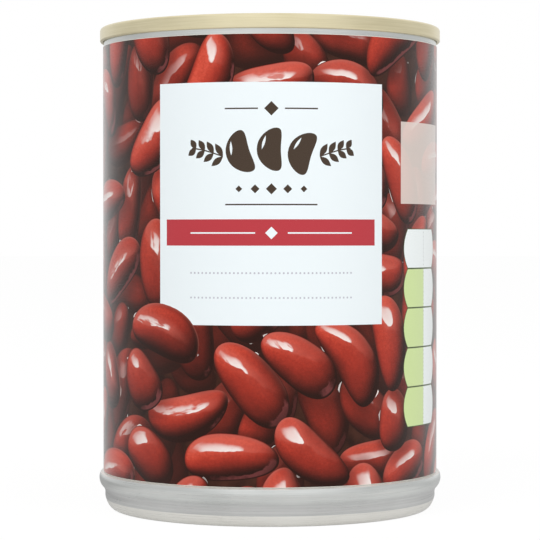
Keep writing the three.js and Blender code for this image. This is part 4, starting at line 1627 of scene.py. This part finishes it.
def studio_air():
    """White to look at, somewhat less as a light, and duller in a gloss at either side."""
    world = bpy.data.worlds.new("studio_air")
    bpy.context.scene.world = world
    world.use_nodes = True
    values = Values(world.node_tree)
    background = world.node_tree.nodes["Background"]
    background.inputs["Color"].default_value = (1, 1, 1, 1)
    x, y, _ = values.parts(values.result("ShaderNodeTexCoord", "Generated"))
    aside = values.smooth(x.size(), SIDE_FROM, SIDE_TO) * SIDE_DIP
    behind = values.smooth(y, BACK_FROM, BACK_TO) * (BACK_DIP - x * BACK_SLANT)
    darkening = values.ray("Glossy") * (aside + behind)
    strength = AIR_LIGHT + (1 - AIR_LIGHT) * seen_directly(values) - darkening
    values.feed(background.inputs["Strength"], strength)


def pale_floor():
    """A floor that glows to the eye, so that it fades into the air. In a gloss it is darker where
    it lies behind the can: a painted shadow of the can."""
    finish = Finish("pale_floor", Base_Color=FLOOR_TINT, Roughness=0.9, Specular_IOR_Level=0.1)
    gloss = finish.ray("Glossy")
    x, y, _ = finish.parts(finish.place())
    # Painted shadow of the can, on the floor behind it, seen only in a gloss
    behind = gloss * finish.smooth(y, *FLOOR_BEHIND)
    gloss_shadow = behind * (LEFT_DIP - (LEFT_DIP - RIGHT_DIP) * finish.smooth(x, *FLOOR_ACROSS))
    strength = FLOOR_BRIGHTNESS * (1.0 - gloss_shadow)
    glow = finish.result("ShaderNodeEmission", 0, {"Color": (1, 1, 1, 1), "Strength": strength})
    share = seen_directly(finish) * FLOOR_GLOW * (1.0 - FLOOR_GLOSS_LESS * (gloss - behind))
    layers = {0: share, 1: finish.shader.outputs["BSDF"], 2: glow}
    seen = finish.result("ShaderNodeMixShader", 0, layers)
    finish.feed(finish.tree.nodes["Material Output"].inputs["Surface"], seen)
    reach = FLOOR_REACH
    corners = [(x, y, 0) for x, y in rectangle(-reach, -reach, reach, reach)]
    mesh = new_mesh("floor", corners, [(0, 1, 2, 3)])
    mesh.materials.append(finish.material)
    new_object("floor", mesh)


def soft_lamp(name, place, power):
    lamp = bpy.data.lights.new(name, "AREA")
    lamp.shape = "DISK"
    lamp.size = LAMP_SIZE
    lamp.energy = power
    stand = new_object(name, lamp)
    stand.location = place
    aim = Vector((0, 0, CAN_HEIGHT / 2 * MM)) - stand.location
    stand.rotation_euler = aim.to_track_quat("-Z", "Y").to_euler()
    stand.visible_glossy = False


def studio():
    studio_air()
    pale_floor()
    for name, (place, power) in LAMPS.items():
        soft_lamp(name, place, power)
    camera = bpy.data.cameras.new("camera")
    camera.sensor_width = 36
    camera.lens = CAMERA_LENS
    camera.clip_start = 0.01
    stand = new_object("camera", camera)
    stand.location = CAMERA_PLACE
    stand.rotation_euler = (math.radians(90 - CAMERA_DOWN), 0, 0)
    bpy.context.scene.camera = stand
    bpy.context.scene.view_settings.view_transform = "Standard"


# --- the can

studio()
turning = turning_tree()

for piece, node, slot in (
    (can_body(), "can_body", "tinplate"),
    (easy_open_end(), "easy_open_end", "gold_lacquer"),
    (rivet(), "easy_open_end", "gold_lacquer"),
    (ring_pull(), "pull_tab", "tab_metal"),
    (paper_label(), "label", "label_paper"),
):
    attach(piece, "root")
    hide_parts(node)
